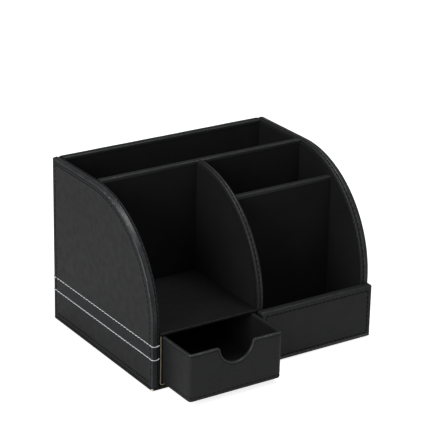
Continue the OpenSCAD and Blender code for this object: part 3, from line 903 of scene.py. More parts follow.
def wall_section(thickness, low, high, leather_back):
    """The section of a wall from the front foot, over the top, to the back foot: a list of y, z and the wear
    with painted highlight, and the finish of the face that follows each point."""
    fold = high - TURN_DOWN
    front = [
        (0.12, low, 0), (0.12, low + 8, 0), (0.12, fold - 6, 0), (0.12, fold - 0.5, 0), (0.14, fold, 0),
        (0.0, fold + 0.05, 0.3), (-0.06, fold + 0.3, 0.35), (-0.04, fold + 1.0, 0.1), (0.0, high - 1.3, 0.15),
        (0.03, high - 0.8, 0.5), (0.16, high - 0.35, 0.9), (0.45, high - 0.07, 1.0), (0.9, high - 0.01, 0.6),
        (thickness * 0.32, high, 0.25),
    ]
    rear = [(thickness - y, z, wear_and_highlight) for y, z, wear_and_highlight in front[::-1]]
    if leather_back:
        rear = [(y, z, wear_and_highlight) if z > high - 1.3 else (thickness, z, 0) for y, z, wear_and_highlight in rear]
    section = front + [(thickness / 2, high + 0.03, 0.2)] + rear
    finish = [LEATHERED] * len(section)
    for k in range(len(section)):
        upper = max(section[k][1], section[(k + 1) % len(section)][1])
        covered = leather_back and len(front) <= k < len(section) - 1
        if upper <= fold and not covered:
            finish[k] = LINED
    return section, finish


def straight_wall(name, node, leather_back=False, seed=0.0):
    (x0, x1), (y0, y1), (z0, z1) = span(node)
    section, finish = wall_section(y1 - y0, z0, z1, leather_back)
    y, z, wear_and_highlight = np.array(section).T
    skin = Loft()
    stations = np.linspace(x0, x1, int((x1 - x0) / WALL_STATION) + 1)
    for x in stations:
        soft = 0.06 * ripple(x * 2.2, y * 3, seed) * ease(z, z1 - TURN_DOWN - 1, z1 - 1)
        ring = np.stack([np.full(len(y), x), y0 + y + soft, z + soft], 1)
        worn_and_lit = wear_and_highlight * (0.75 + 0.25 * ripple(x * 3, y, seed + 1))
        # Painted shade along the fold, where the leather ends and the lining begins.
        shade = 0.7 * bell(z - (z1 - TURN_DOWN), 0.25)
        skin.add(ring, x, worn_and_lit, shade, way_along(section))
    faces = skin.faces(ring=True) + skin.caps()
    finish = finish * (len(stations) - 1) + [LINED, LINED]
    piece = skin.build(name, faces, [leather, lining], finish, sharp=50)
    settle(piece, "case", "leather", node)


straight_wall("back_wall_leather", "back_cover", leather_back=True, seed=0.5)
straight_wall("slot_wall_leather", "slot_wall_cover", seed=2.5)
straight_wall("pen_wall_leather", "pen_wall_cover", seed=4.5)

# %% [markdown]
# ## Slabs with soft edges
# The front panel and the base are flat slabs with small rounded corners, and the card sleeve is a rounded
# tube. A bevelled box would give the corners, but no points at the holes of a seam. So their rings are
# rounded rectangles that shrink towards the middle, with points at even spacing. The last ring of a slab has
# no width, so the two halves of its face weld together along a line.

# %% Draw rounded rings


def direction(turn):
    return np.array([math.cos(turn), math.sin(turn)])


def rounded_ring(width, height, radius, inset, spacing):
    """Points of a rounded rectangle that is moved inwards by inset. The number of points stays the same."""
    sides = [max(int(round((side - 2 * radius) / spacing)), 2) for side in (width, height)]
    low_a, high_a = min(inset, width / 2), max(width - inset, width / 2)
    low_b, high_b = min(inset, height / 2), max(height - inset, height / 2)
    r = min(max(radius - inset, 0.0), (high_a - low_a) / 2, (high_b - low_b) / 2)
    points = []
    before = np.array([low_a + r, low_b])
    for a, b, turn, count in (
        (high_a - r, low_b + r, -90, sides[0]), (high_a - r, high_b - r, 0, sides[1]),
        (low_a + r, high_b - r, 90, sides[0]), (low_a + r, low_b + r, 180, sides[1]),
    ):
        corner = [(a, b) + r * direction(math.radians(turn + 22.5 * k)) for k in range(5)]
        points += [before + (corner[0] - before) * (k / count) for k in range(count)] + corner
        before = corner[-1]
    return np.array(points).T


def perimeter(a, b):
    """The distance along a closed ring to each of its points."""
    steps = np.hypot(np.diff(a, append=a[0]), np.diff(b, append=b[0]))
    return np.concatenate([[0], np.cumsum(steps)[:-1]])


print("a ring of 40 by 20 mm is", round(perimeter(*rounded_ring(40, 20, 2, 0, 2))[-1], 1), "mm long")

# %% [markdown]
# ## The front panel
# A low panel closes the square bay on the right. It is sewn all round, 4 mm from its edges, and the leather
# is puffed outside the seam. Along the foot a thin raised line carries a painted highlight, above painted
# shade at the very foot. The relief of the side panels could be used again, but this panel has four straight
# edges, so its rings are rounded rectangles. Its front edges are well rounded, its back lies flat against the
# walls, and the holes of the seam are spaced so that each side has a whole number of stitches.

# %% Loft the front panel
(fx0, fx1), (fy0, fy1), (fz0, fz1) = span("front_cover")
FRONT_W, FRONT_H, FRONT_T = fx1 - fx0, fz1 - fz0, fy1 - fy0
FRONT_CORNER = 1.1
FRONT_SEAM = 4.0
# How far in from the foot edge the line of painted highlight lies.
FOOT_HIGHLIGHT = 2.2
seam_w, seam_h = FRONT_W - 2 * FRONT_SEAM, FRONT_H - 2 * FRONT_SEAM
pitch_w, pitch_h = [side / round(side / STITCH) for side in (seam_w, seam_h)]
front_rings = [
    # inset, depth below the front face, wear with painted highlight
    (0.0, FRONT_T, 0), (0.0, FRONT_T - 0.6, 0.1), (0.0, 3.0, 0.1), (0.02, 2.2, 0.15), (0.12, 1.2, 0.3),
    (0.34, 0.62, 0.6), (0.7, 0.26, 0.7), (1.2, 0.1, 0.35), (1.9, 0.02, 0.2), (2.7, 0.0, 0.1),
    (3.3, 0.06, 0.1), (3.65, 0.2, 0), (4.0, 0.34, 0), (4.35, 0.22, 0), (4.8, 0.1, 0), (5.6, 0.05, 0),
    (7.0, 0.06, 0), (9.5, 0.07, 0), (13, 0.08, 0), (17, 0.08, 0), (22.2, 0.08, 0),
]
run = perimeter(*rounded_ring(FRONT_W, FRONT_H, FRONT_CORNER, 0, STITCH / 4))
skin = Loft()
for (inset, depth, wear_and_highlight), across in zip(front_rings, way_along(front_rings)):
    a, b = rounded_ring(FRONT_W, FRONT_H, FRONT_CORNER, inset, STITCH / 4)
    from_upright = np.minimum(np.abs(a - inset), np.abs(FRONT_W - inset - a))
    from_level = np.minimum(np.abs(b - inset), np.abs(FRONT_H - inset - b))
    along = np.where(from_level < from_upright, a, b) - FRONT_SEAM
    pitch = np.where(from_level < from_upright, pitch_w, pitch_h)
    # A painted highlight on a thin raised line along the foot, and painted shade at the very foot.
    foot = b <= inset + 0.02
    worn_and_lit = bell(inset - FOOT_HIGHLIGHT, 0.9)
    depth = depth + 0.12 * hole_pull(along, pitch) * bell(inset - FRONT_SEAM, 0.4) - 0.1 * worn_and_lit * foot
    depth = depth + 0.06 * ripple(a * 1.6, b * 2.2, 0.9) * ease(inset, 4, 9)
    ring = np.stack([fx0 + a, fy0 + np.minimum(depth, FRONT_T), fz0 + b], 1)
    wear_and_highlight = np.where(foot, 1.3 * worn_and_lit, wear_and_highlight * (0.75 + 0.25 * ripple(run * 2, 0, 1.0)))
    shade = 0.9 * stitch_shade(along, pitch) * bell(inset - FRONT_SEAM, 0.5) + 0.8 * foot * bell(inset, 0.6)
    skin.add(ring, run, wear_and_highlight, shade, across)
front_skin = skin.build("front_panel_leather", skin.faces(ring=True) + skin.caps()[:1], [leather])
settle(front_skin, "case", "leather", "front_cover")

# %% [markdown]
# ## The base
# The base is a thin covered board under the whole body. Only its edge shows from outside, and its top is the
# floor of the letter slot and of the two compartments on the right. At its front left corner the leather is
# worn through, and the pale board shows in a spot two millimetres wide. The spot could be a hole in the skin,
# but then the board below would have to fit it. So it is a few faces of the same skin with the finish of
# chipped board.

# %% Loft the base
(bx0, bx1), (by0, by1), (bz0, bz1) = span("base_cover")
BASE_H = bz1 - bz0
BASE_CORNER, BASE_SPACING = 1.4, 2.0
WORN_ROWS, WORN_COLUMNS = slice(5, 9), slice(-5, -1)
half_section = [
    # inset, depth from the underside or the top, wear with painted highlight
    ((by1 - by0) / 2, 0, 0), (40, 0, 0), (12, 0, 0), (2.0, 0, 0), (1.0, 0, 0.1), (0.5, 0.1, 0.5),
    (0.15, 0.38, 0.9), (0.0, 0.8, 0.5), (-0.02, BASE_H / 2, 0.3),
]
base_rings = half_section + [(inset, BASE_H - depth, wear_and_highlight) for inset, depth, wear_and_highlight in half_section[-2::-1]]
run = perimeter(*rounded_ring(bx1 - bx0, by1 - by0, BASE_CORNER, 0, BASE_SPACING))
skin = Loft()
for (inset, height, wear_and_highlight), across in zip(base_rings, way_along(base_rings, longest=3)):
    a, b = rounded_ring(bx1 - bx0, by1 - by0, BASE_CORNER, inset, BASE_SPACING)
    on_edge = 0.2 < height < BASE_H - 0.2
    soft = 0.05 * ripple(run * 2, height * 5, 2.2) * ease(2 - inset, 0, 1) * on_edge
    ring = np.stack([bx0 + a, by0 + b, bz0 + height + soft], 1)
    # Painted shade over the whole top of the base, from just below its top edge to the middle.
    shade = 0.7 if height > BASE_H - 0.6 else 0.0
    skin.add(ring, run, wear_and_highlight * (0.7 + 0.3 * ripple(run * 3, 0, 7.0)), shade, across)
finish = np.zeros((len(base_rings) - 1, len(run)), int)
finish[WORN_ROWS, WORN_COLUMNS] = 1
base_skin = skin.build("base_leather", skin.faces(ring=True), [leather, chipped_board], finish)
settle(base_skin, "case", "leather", "base_cover")

# %% [markdown]
# ## The sleeve of the drawer
# The drawer slides in a square tube of card, glued between the left panel and the divider. Its front end was
# cut, and on the left it was left raw, so a thin tan line with a small hook at each end shows there. A plain
# tube would end too cleanly. So the rings run along the outside, over the slightly frayed cut and back along
# the inside, and the last is joined to the first at the far end.

# %% Build the sleeve
(sx0, sx1), (sy0, sy1), (sz0, sz1) = span("drawer_sleeve")
CARD_T, CARD_CORNER, CARD_SPACING = 1.4, 2.0, 2.0
RAW_ROWS, RAW_WIDTH = slice(3, 6), 3.0
sleeve_rings = [
    # share of the card's thickness, distance from the front end, whether frayed
    (0, sy1 - sy0, 0), (0, 20, 0), (0, 0.35, 0), (0.12, 0.16, 1), (0.3, 0.1, 1), (0.5, 0.07, 1),
    (0.7, 0.1, 1), (0.88, 0.16, 1), (1, 0.35, 0), (1, 20, 0), (1, sy1 - sy0, 0),
]
outer = np.array(rounded_ring(sx1 - sx0, sz1 - sz0, CARD_CORNER, 0, CARD_SPACING))
inner = np.array(rounded_ring(sx1 - sx0, sz1 - sz0, CARD_CORNER, CARD_T, CARD_SPACING))
run = perimeter(*outer)
fray = 0.10 * ripple(run * 9, 0, 0.3) + 0.06 * np.sin(run * 2.7)
skin = Loft()
for share, behind, frayed in sleeve_rings:
    a, b = outer + (inner - outer) * share
    skin.add(np.stack([sx0 + a, sy0 + behind + fray * frayed, sz0 + b], 1), run, across=share * CARD_T)
finish = np.ones((len(sleeve_rings), len(run)), int)
finish[RAW_ROWS, outer[0] < RAW_WIDTH] = 0
faces = skin.faces(ring=True, closed=True)
sleeve = skin.build("drawer_sleeve_card", faces, [raw_card, black_paper], finish, sharp=30)
settle(sleeve, "case", "card", "drawer_sleeve")

# %% [markdown]
# ## The shelf over the drawer
# The top of the sleeve is the floor of the left bay. A leather sheet lies on it and is folded down over the
# front edge of the card. A cloth could be draped there, but the sheet is glued. So its section, a flat strip
# with a soft fold, is swept from side to side, and the fold waves a hair.

# %% Sweep the shelf
(hx0, hx1), (hy0, hy1), (hz0, hz1) = span("shelf_cover")
SHEET_T, SHELF_STATIONS = 0.7, 30
shelf_section = [
    # y, z, wear with painted highlight
    (hy1, hz1 - SHEET_T, 0), (hy0 + SHEET_T, hz1 - SHEET_T, 0), (hy0 + SHEET_T, hz0, 0),
    (hy0 + 0.35, hz0 - 0.02, 0.4), (hy0 + 0.05, hz0 + 0.15, 0.6), (hy0, hz0 + 0.5, 0.4),
    (hy0, hz1 - 1.0, 0.4), (hy0 + 0.08, hz1 - 0.6, 0.6), (hy0 + 0.3, hz1 - 0.22, 0.75),
    (hy0 + 0.65, hz1 - 0.03, 0.6), (hy0 + 1.2, hz1, 0.4), (hy0 + 2.5, hz1, 0.1), (hy0 + 8, hz1, 0),
    (hy0 + 20, hz1, 0), (hy0 + 45, hz1, 0), (hy1, hz1, 0),
]
y, z, wear_and_highlight = np.array(shelf_section).T
skin = Loft()
for x in np.linspace(hx0, hx1, SHELF_STATIONS):
    soft = 0.05 * ripple(x * 4, z, 1.1) * (y < hy0 + 0.6)
    skin.add(np.stack([np.full(len(y), x), y + soft, z], 1), x, wear_and_highlight, across=way_along(shelf_section))
shelf = skin.build("shelf_leather", skin.faces(ring=True) + skin.caps(), [shelf_skin], sharp=50)
settle(shelf, "case", "leather", "shelf_cover")

# %% [markdown]
# ## The drawer
# The drawer is a small open box of thin boards in leather, with a half round notch for a finger in its front.
# A narrow ridge, like a binding, follows the top edge and dips round the notch. The notch could be cut out of
# a plain box, but then the ridge would end at the cut. So the wall is drawn unrolled: every column of points
# starts on the top edge and goes down at right angles to it for a few millimetres, before it straightens out
# towards the foot. Then the wall is rolled up round the plan.

# %% Draw the top edge of the drawer
(dx0, dx1), (dy0, dy1), (dz0, dz1) = span("drawer_cover")
DRAWER_W, DRAWER_L, DRAWER_H = dx1 - dx0, dy1 - dy0, dz1 - dz0
PLAN_R = 3.2
NOTCH_R, SHOULDER_R = 14.5, 2.5
reach = math.sqrt((NOTCH_R + SHOULDER_R) ** 2 - SHOULDER_R ** 2)
dip = math.degrees(math.asin(SHOULDER_R / (NOTCH_R + SHOULDER_R)))


def top_edge():
    """Points of the top edge of the front wall from left to right: p, z and the unit vector into the wall."""
    left = [(p, 0.0, 0.0, -1.0) for p in np.arange(PLAN_R - DRAWER_W / 2, -reach, 1.0)]
    for turn in np.linspace(90, dip, 7):
        c, s = direction(math.radians(turn))
        left.append((-reach + SHOULDER_R * c, -SHOULDER_R + SHOULDER_R * s, -c, -s))
    bowl = []
    for turn in np.linspace(180 + dip, 360 - dip, 46)[1:-1]:
        c, s = direction(math.radians(turn))
        bowl.append((NOTCH_R * c, NOTCH_R * s, c, s))
    return left + bowl + [(-p, z, -u, v) for p, z, u, v in left[::-1]]


front_edge = top_edge()
notch_depth = -min(z for _, z, _, _ in front_edge)
print("finger notch", round(2 * reach, 1), "mm wide,", round(notch_depth, 1), "mm deep")

# %% [markdown]
# ## Rolling the wall round the drawer
# The plan of the drawer is a rectangle with rounded corners. A place along the wall turns into a point on
# that plan and a direction inwards, so any thickness can be laid off from the outer face. Away from the notch
# the top edge is level, and the columns stand at a quarter of a stitch.

# %% Walk round the plan of the drawer
straight_w, straight_l = DRAWER_W - 2 * PLAN_R, DRAWER_L - 2 * PLAN_R
corner_run = PLAN_R * math.pi / 2
half_front = straight_w / 2
WALL_RUN = 2 * (straight_w + straight_l + 2 * corner_run)


def on_plan(p, depth):
    """A point of the drawer's plan, depth inside its outline. p is 0 at the middle of the front and grows to
    the right."""
    p = (p + half_front) % WALL_RUN
    place, heading = np.array([PLAN_R, 0.0]), 0.0
    for length in (straight_w, straight_l, straight_w, straight_l):
        ahead, inward = direction(heading), direction(heading + math.pi / 2)
        if p <= length:
            return place + ahead * p + inward * depth
        p -= length
        centre = place + ahead * length + inward * PLAN_R
        if p <= corner_run:
            return centre + (PLAN_R - depth) * direction(heading - math.pi / 2 + p / PLAN_R)
        p -= corner_run
        place = centre + ahead * PLAN_R
        heading += math.pi / 2
    return on_plan(-half_front, depth)


# Each column starts on the top edge and ends at the foot. In the notch the feet are spread out evenly.
feet = np.array([p for p, _, _, _ in front_edge])
in_notch = np.abs(feet) <= reach + 1e-6
feet[in_notch] = np.linspace(-reach, reach, in_notch.sum())
rest_runs = np.arange(half_front, WALL_RUN - half_front - 0.4, STITCH / 4)[1:]
wall_columns = [(*edge, foot) for edge, foot in zip(front_edge, feet)]
wall_columns += [(p, 0.0, 0.0, -1.0, p) for p in rest_runs]
edge_p, edge_z, inward_p, inward_z, foot_p = np.array(wall_columns).T
print("columns round the drawer:", len(wall_columns), "wall", round(WALL_RUN, 1), "mm round")

# %% [markdown]
# ## The leather and the lining of the drawer
# Both are made from rows. A row near the top is so many millimetres below the edge, measured at right angles
# to it, and a row near the foot is at one height above the bottom. The rows between blend from one to the
# other. Each row has its own depth inside the outer face: the ridge stands proud, the seam is sunk. Two boxes
# inside each other would be simpler, but their top edges wouldn't look wrapped.

# %% Loft the drawer
FOOT_SEAM = 3.2
RIM_T, LINER_T, LINER_TOP = 2.38, 0.7, 1.3
liner_z = span("drawer_lining")[2][0] - dz0
drawer_count = int(WALL_RUN / STITCH)
DRAWER_STITCH = WALL_RUN / drawer_count


def under_edge(below):
    """Places on the unrolled wall, so many millimetres inside its top edge."""
    return edge_p + inward_p * below, DRAWER_H + edge_z + inward_z * below


def at_height(height):
    return foot_p, np.full(len(foot_p), height)


def between(share, below=2.2, height=5.2):
    """Places a share of the way from under_edge(below) to at_height(height)."""
    p, z = under_edge(below)
    return p + (foot_p - p) * share ** 0.75, z + (height - z) * share


def loft_wall(name, rows, material, slot, node):
    """Each row is its places on the unrolled wall, its depth inside the outer face, its wear with painted
    highlight, and its painted shade.
    """
    skin = Loft()
    for (p, z), depth, wear_and_highlight, shade in rows:
        x, y = np.array([on_plan(place, depth) for place in p]).T
        ring = np.stack([dx0 + x, dy0 + y, dz0 + z], 1)
        skin.add(ring, p, wear_and_highlight * (0.75 + 0.25 * ripple(p * 3, 0, 2.4)), shade)
    settle(skin.build(name, skin.faces(ring=True) + skin.caps(), [material]), "drawer", slot, node)


# The ridge along the top edge is paler, for wear and as a painted highlight, and the groove under it gets
# painted shade.
top_rows = [
    # distance inside the top edge, depth inside the outer face, wear with painted highlight, painted shade
    (0.9, RIM_T, 0.1, 0), (0.45, RIM_T - 0.06, 0.4, 0), (0.18, 2.06, 0.7, 0), (0.04, 1.78, 0.6, 0),
    (0.0, 1.4, 0.3, 0), (0.0, 0.95, 0.3, 0), (0.06, 0.52, 0.6, 0), (0.2, 0.24, 1.0, 0), (0.42, 0.05, 1.0, 0),
    (0.7, -0.08, 1.0, 0), (1.0, -0.12, 1.0, 0), (1.3, -0.06, 0.7, 0), (1.55, 0.12, 0.2, 0.6),
    (1.8, 0.2, 0.0, 0.8), (2.2, 0.08, 0.0, 0.2),
]
seam_rows = [
    # height, depth inside the outer face
    (6.2, 0.02), (5.2, 0.02), (4.3, 0.02), (3.8, 0.05), (FOOT_SEAM + 0.3, 0.14), (FOOT_SEAM, 0.22),
    (FOOT_SEAM - 0.3, 0.14), (2.6, 0.02), (2.1, -0.04), (1.6, -0.04),
]
foot_rows = [
    # height, depth inside the outer face, wear with painted highlight
    (1.2, 0.04, 0.4), (0.8, 0.16, 0.8), (0.46, 0.36, 0.9), (0.2, 0.64, 0.6), (0.05, 1.0, 0.3),
    (0.0, 1.4, 0.1),
]
seam_shade = stitch_shade(foot_p + half_front, DRAWER_STITCH)
rows = [(at_height(RIM_T), RIM_T, 0, 0)]
rows += [(between(share, 1.6, RIM_T + 0.5), RIM_T, 0, 0) for share in (0.98, 0.5, 0.0)]
rows += [(under_edge(below), depth, wear_and_highlight, shade) for below, depth, wear_and_highlight, shade in top_rows]
rows += [(between(share), 0.03, 0, 0) for share in (0.04, 0.1, 0.2, 0.3, 0.42, 0.54, 0.66, 0.78, 0.9)]
for height, depth in seam_rows:
    shade = 0.5 * bell(height - FOOT_SEAM, 0.4) * seam_shade
    rows.append((at_height(height), depth, 0.3 * bell(height - 2.2, 0.6), shade))
rows += [(at_height(height), depth, wear_and_highlight, 0) for height, depth, wear_and_highlight in foot_rows]
loft_wall("drawer_leather", rows, leather, "leather", "drawer_cover")

liner_lip = [
    # distance inside the top edge, depth inside the drawer's inner face
    (LINER_TOP, 0.05), (LINER_TOP - 0.1, 0.25), (LINER_TOP - 0.08, 0.5), (LINER_TOP + 0.1, 0.68),
    (LINER_TOP + 0.6, LINER_T),
]
liner_floor = [(1.0, 0.0), (0.4, 0.04), (0.1, 0.1), (0.0, 0.18)]
rows = [(at_height(liner_z), RIM_T + 0.02, 0, 0)]
rows += [(between(share, LINER_TOP + 0.1, liner_z + 1.0), RIM_T + 0.02, 0, 0) for share in (0.95, 0.5, 0.0)]
rows += [(under_edge(below), RIM_T + depth, 0, 0) for below, depth in liner_lip]
for share in (0.05, 0.2, 0.4, 0.6, 0.8, 1.0):
    rows.append((between(share, 2.0, liner_z + 3.0), RIM_T + LINER_T, 0, 0))
for above, depth in liner_floor:
    rows.append((at_height(liner_z + LINER_T + above), RIM_T + LINER_T + depth, 0, 0))
loft_wall("drawer_liner_cloth", rows, lining, "lining", "drawer_lining")

# %% [markdown]
# ## One stitch
# A stitch comes out of one hole and goes down the next. Between them the thread lies on the leather, a little
# flattened, and at the holes it dives in. A dashed line in the material would do from far away, but has no
# shadow. So a stitch is a tube of eight-sided rings that are largest in the middle. Real stitches also slant
# and slacken a little, so each one gets a small seeded difference.

# %% Make stitches
RINGS_IN_STITCH, SIDES = 9, 8
FLATTENED = 0.78
SEAM_GAP, RIM_GAP = 1.3, 1.1


def unit(rows):
    return rows / np.linalg.norm(rows, axis=1, keepdims=True)


def sew(name, paths, radius, seed, material, body, slot, *nodes_replaced):
    """A piece of thread from paths. Each path is a list of point, outward direction and size."""
    chance = np.random.default_rng(seed)
    angles = math.tau * np.arange(SIDES) / SIDES
    cos, sin = np.cos(angles)[None, :, None], FLATTENED * np.sin(angles)[None, :, None]
    turned = (np.arange(SIDES) + 2) % SIDES / SIDES
    points, faces, lay = [], [], []
    for path in paths:
        start = len(points)
        spots, outs = [np.array([ring[k] for ring in path], float) for k in (0, 1)]
        sizes = np.array([size for _, _, size in path])
        tangents = unit(np.gradient(spots, axis=0))
        sides = unit(np.cross(outs, tangents))
        ups = np.cross(tangents, sides)
        around = sides[:, None] * cos + ups[:, None] * sin
        points += list((spots[:, None] + (radius * sizes)[:, None, None] * around).reshape(-1, 3))
        steps = np.linalg.norm(np.diff(spots, axis=0), axis=1)
        along = np.concatenate([[0], np.cumsum(steps)]) + chance.uniform(0, 1)
        lay += [(run * MM, turn) for run in along for turn in turned]
        faces += loft_faces(len(path), SIDES, ring=True, start=start)
        faces += [cap(0, SIDES, start), cap(len(path) - 1, SIDES, start)]
    settle(build_piece(name, points, faces, [material], lay), body, slot, *nodes_replaced)


def stitch_path(place_at, first, last, lift, dive, slant):
    """One stitch between the holes at first and last. place_at gives the point, the outward direction and the
    sideways direction at a distance along the seam."""
    path = []
    for share in np.linspace(0, 1, RINGS_IN_STITCH):
        point, out, side = place_at(first + (last - first) * share)
        arch = math.sin(math.pi * share) ** 0.45 if 0 < share < 1 else 0.0
        height = -dive + (dive + lift) * arch
        path.append((point + out * height + side * slant * (share - 0.5), out, 0.72 + 0.28 * arch))
    return path


def holes_from(start, count, pitch):
    """Pairs of holes, one pair for each stitch."""
    return [(start + pitch * k, start + pitch * (k + 1)) for k in range(count)]


def stitches(place_at, holes, gap, seed, lift, dive=0.5, slack=0.06, slant=0.16):
    """The paths of a row of stitches, one for each pair of holes, each a little different."""
    chance = np.random.default_rng(seed)
    paths = []
    for hole, next_hole in holes:
        moved = chance.uniform(-slack, slack)
        height = lift + chance.uniform(-0.03, 0.03)
        turned = chance.uniform(-slant, slant)
        first, last = hole + gap / 2 + moved, next_hole - gap / 2 + moved
        paths.append(stitch_path(place_at, first, last, height, dive, turned))
    return paths


print("a stitch of", STITCH, "mm is", RINGS_IN_STITCH, "rings of", SIDES, "points")

# %% [markdown]
# ## The white rows
# Two white seams decorate each side, low down. The upper one shows clear gaps between its stitches, the lower
# one hardly any. On the left panel the last stitch of each row is a slack loop that hangs across the front
# edge, and both rows go round the back edge. The loop doesn't dive at a hole like a stitch, so its rings are
# placed one by one: over the face, round the corner and across the edge.

# %% Stitch the white rows
WHITE_R, LOOP_CORNER = 0.38, 1.3


def side_face(y, z, mirrored, depth=0.2):
    """A point on the outer face of a side panel, with its outward and sideways directions."""
    x, out = (BODY_W - depth, 1.0) if mirrored else (depth, -1.0)
    return np.array((x, y, z)), np.array((out, 0.0, 0.0)), np.array((0.0, 0.0, 1.0))


def edge_loop(y_edge, toward, row_z, mirrored, sag, far):
    """A slack loop of thread from the outer face round an upright edge and across it to far. toward is the y
    direction that points away from the panel."""
    rings = [(-0.02, 2.7, 0.6), (-0.1, 1.9, 0.6)]
    for turn in np.linspace(0, 90, 5):
        x, inward = LOOP_CORNER - (LOOP_CORNER + 0.16) * direction(math.radians(turn))
        rings.append((x, inward, 0.9))
    rings += [(LOOP_CORNER + (far - LOOP_CORNER) * share, -0.2, 1.0) for share in np.linspace(0.15, 0.9, 7)]
    rings += [(far + 0.1, -0.08, 0.9), (far + 0.45, 0.35, 0.75)]
    outs = [(-1.0, 0.0)] * 3 + [(-0.4, 0.9)] * 3 + [(0.0, 1.0)] * (len(rings) - 6)
    path = []
    for (x, inward, size), (out_x, out_y) in zip(rings, outs):
        drop = sag * math.sin(math.pi * np.clip((x - 0.2) / (far - 0.2), 0, 1))
        spot = (BODY_W - x if mirrored else x, y_edge - toward * inward, row_z - drop)
        path.append((spot, (-out_x if mirrored else out_x, toward * out_y, 0.0), size))
    return path


def white_row(name, node, row_z, mirrored, gap, seed):
    holes = holes_from(ROW_START, stitch_count, WHITE_STITCH)
    paths = stitches(lambda run: side_face(run, row_z, mirrored), holes, gap, seed,
                     lift=0.2, dive=0.45, slack=0.05, slant=0.22)
    if not mirrored:
        paths.append(edge_loop(0.0, -1, row_z, mirrored, 0.6, SIDE_T - 0.9))
    paths.append(edge_loop(BODY_D, 1, row_z, mirrored, 0.2, SIDE_T - 0.8))
    sew(name, paths, WHITE_R, seed, white_thread, "case", "white_thread", node)


HIGH_GAP, LOW_GAP = 0.55, 0.15
white_row("left_white_row_high", "left_row_high", ROW_HIGH, False, HIGH_GAP, 11)
white_row("left_white_row_low", "left_row_low", ROW_LOW, False, LOW_GAP, 12)
white_row("right_white_row_high", "right_row_high", ROW_HIGH, True, HIGH_GAP, 13)
white_row("right_white_row_low", "right_row_low", ROW_LOW, True, LOW_GAP, 14)

# %% [markdown]
# ## The dark seams of the side panels
# Black thread on black leather is seen only as a row of small dark dashes. On both side panels the seam goes
# all round the outer face: up the back, along the top, down the curve and the front, and along the foot. A
# second row lies on the rim itself, where the outer leather ends and is sewn to the inner one. The seams
# could be one long piece, but each run is its own here, because each follows another edge.

# %% Stitch the side panels
FACE_R, HEM_R, SEAM_R, DRAWER_R = 0.46, 0.44, 0.42, 0.32
front_top = span("front_cover")[2][1]
seam_end = ARC_END + CURVE_Z


def edge_point(run, inset):
    """A point on the outline of a curved panel, inset from its edge, and the direction that leads inwards."""
    if run > ARC_END:
        return (inset, seam_end - run), (1.0, 0.0)
    if run > TOP_RUN:
        c, s = direction(math.pi / 2 * (1 + (run - TOP_RUN) / QUARTER_ARC))
        return (CURVE_R + (CURVE_R - inset) * c, CURVE_Z + (CURVE_R - inset) * s), (-c, -s)
    if run > 0:
        return (CURVE_R + TOP_RUN - run, BODY_H - inset), (0.0, -1.0)
    return (BODY_D - SEAM_IN, BODY_H - SEAM_IN + run), (-1.0, 0.0)


def face_seam(run, mirrored):
    """A point of the seam on the outer face, with its outward and sideways directions."""
    (y, z), inward = edge_point(run, float(seam_inset(run)))
    point, out, _ = side_face(y, z, mirrored, 0.32)
    return point, out, np.array((0.0, *inward))


def rim_seam(run, x):
    """A point of the seam that lies on the rim, x millimetres from the left, with its two directions."""
    (y, z), inward = edge_point(run, 0.36)
    return np.array((x, y, z)), -np.array((0.0, *inward)), np.array((1.0, 0.0, 0.0))


def dark_seam(name, paths, radius, seed, *nodes_replaced, body="case"):
    sew(name, paths, radius, seed, dark_thread, body, "dark_thread", *nodes_replaced)


back_count = int((BODY_H - SEAM_IN - HEM_Z) / STITCH)
hem_count = int((BODY_D - 2 * SEAM_IN) / STITCH)
for side_name, mirrored, seed in (("left", False, 21), ("right", True, 22)):
    # On the right the front panel hides the lower ends of both seams.
    seam_stop = ARC_END + 2 * STITCH if mirrored else seam_end - HEM_Z
    rim_stop = seam_end - (front_top + 1 if mirrored else PANEL_Z + 3)
    seam_x = BODY_W - SIDE_T + RIM_SEAM if mirrored else SIDE_T - RIM_SEAM
    holes = holes_from(-back_count * STITCH, back_count + int(seam_stop / STITCH), STITCH)
    paths = stitches(lambda run: face_seam(run, mirrored), holes, SEAM_GAP, seed, lift=0.12)
    dark_seam(f"{side_name}_seam_thread", paths, FACE_R, seed, f"{side_name}_edge_stitches")
    holes = holes_from(SEAM_IN, hem_count, STITCH)
    paths = stitches(lambda run: side_face(run, HEM_Z, mirrored, 0.26), holes, SEAM_GAP, seed + 2, lift=0.12)
    dark_seam(f"{side_name}_hem_thread", paths, HEM_R, seed + 2)
    holes = holes_from(STITCH, int(rim_stop / STITCH) - 1, STITCH)
    paths = stitches(lambda run: rim_seam(run, seam_x), holes, RIM_GAP, seed + 4, lift=0.08)
    dark_seam(f"{side_name}_rim_thread", paths, SEAM_R, seed + 4)

# %% [markdown]
# ## The seams of the divider, the front panel and the drawer
# The divider has a seam on its lined left face and one on its rim. The front panel is sewn along all four
# sides, and the drawer round its foot. Their threads are a little thinner than those of the side panels, and
# on the drawer the thread is thinnest and lies lowest, because it has to pass through the sleeve.

# %% Stitch the divider
DIVIDER_SEAM = 4.2
lining_x = span("divider_lining")[0][0] + 0.02
divider_arc = (CURVE_R - DIVIDER_SEAM) * math.pi / 2


def divider_seam(run):
    """A point of the seam on the lined face, with its two directions. The run starts at the curve's top."""
    c, s = direction(math.pi / 2 * (1 + run / divider_arc))
    y, z = CURVE_R + (CURVE_R - DIVIDER_SEAM) * c, CURVE_Z + (CURVE_R - DIVIDER_SEAM) * s
    return np.array((lining_x, y, z)), np.array((-1.0, 0.0, 0.0)), np.array((0.0, -c, -s))


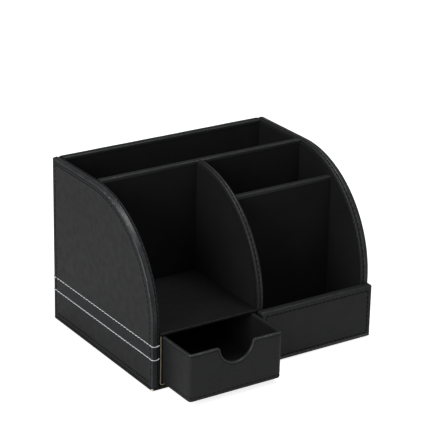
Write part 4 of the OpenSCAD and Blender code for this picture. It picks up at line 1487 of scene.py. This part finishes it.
holes = holes_from(STITCH * 1.5, int(divider_arc / STITCH) - 1, STITCH)
paths = stitches(divider_seam, holes, SEAM_GAP, 31, lift=0.12)
dark_seam("divider_seam_thread", paths, SEAM_R, 31, "divider_stitches")
rim_count = int((seam_end - front_top - 1 - TOP_RUN) / STITCH) - 1
holes = holes_from(TOP_RUN + STITCH, rim_count, STITCH)
paths = stitches(lambda run: rim_seam(run, DIVIDER_X + RIM_SEAM), holes, RIM_GAP, 34, lift=0.08)
dark_seam("divider_rim_thread", paths, SEAM_R, 34)

# %% Stitch the front panel and the drawer
front_sides = [
    # length, pitch, where the side starts, its direction
    (seam_w, pitch_w, (0, 0), (1, 0)), (seam_h, pitch_h, (seam_w, 0), (0, 1)),
    (seam_w, pitch_w, (seam_w, seam_h), (-1, 0)), (seam_h, pitch_h, (0, seam_h), (0, -1)),
]


def front_seam(run):
    """A point of the front panel's seam, with its two directions. The run starts at the lower left corner."""
    for length, _, start, (right_way, up_way) in front_sides:
        if run <= length + 1e-6:
            x = fx0 + FRONT_SEAM + start[0] + right_way * run
            z = fz0 + FRONT_SEAM + start[1] + up_way * run
            side = np.array((up_way, 0.0, -right_way))
            return np.array((x, fy0 + 0.28, z)), np.array((0.0, -1.0, 0.0)), side
        run -= length
    return front_seam(0.0)


def drawer_seam(run):
    """A point of the seam round the drawer's foot, with its two directions."""
    (x, y), inner = on_plan(run, 0.24), on_plan(run, 1.24)
    out = np.array((x - inner[0], y - inner[1], 0.0))
    return np.array((dx0 + x, dy0 + y, dz0 + FOOT_SEAM)), out, np.array((0.0, 0.0, 1.0))


holes, side_start = [], 0.0
for length, pitch, _, _ in front_sides:
    holes += holes_from(side_start, int(round(length / pitch)), pitch)
    side_start += length
paths = stitches(front_seam, holes, SEAM_GAP, 32, lift=0.1)
dark_seam("front_seam_thread", paths, SEAM_R, 32)

holes = holes_from(-half_front, drawer_count, DRAWER_STITCH)
paths = stitches(drawer_seam, holes, SEAM_GAP, 33, lift=0.04)
dark_seam("drawer_seam_thread", paths, DRAWER_R, 33, body="drawer")

# %% [markdown]
# ## The nodes that stay
# The boards, the felt and the lining sheets are already right as solids: they are flat, and mostly hidden. So
# they stay as they are in the frame and only get their finishes.

# %% Finish the nodes of the frame
finishes = {
    "board": fibreboard, "felt": black_felt, "lining": lining, "leather": leather, "card": raw_card,
    "white_thread": white_thread, "dark_thread": dark_thread,
}
slots = {part["node"]: part["material_slot"] for part in frame["record"]["subparts"]}
for node, held in frame["nodes"].items():
    solid = bpy.data.objects[held] if isinstance(held, str) else held
    solid.data.materials.clear()
    solid.data.materials.append(finishes[slots[node]])
print("finished", len(frame["nodes"]), "nodes")
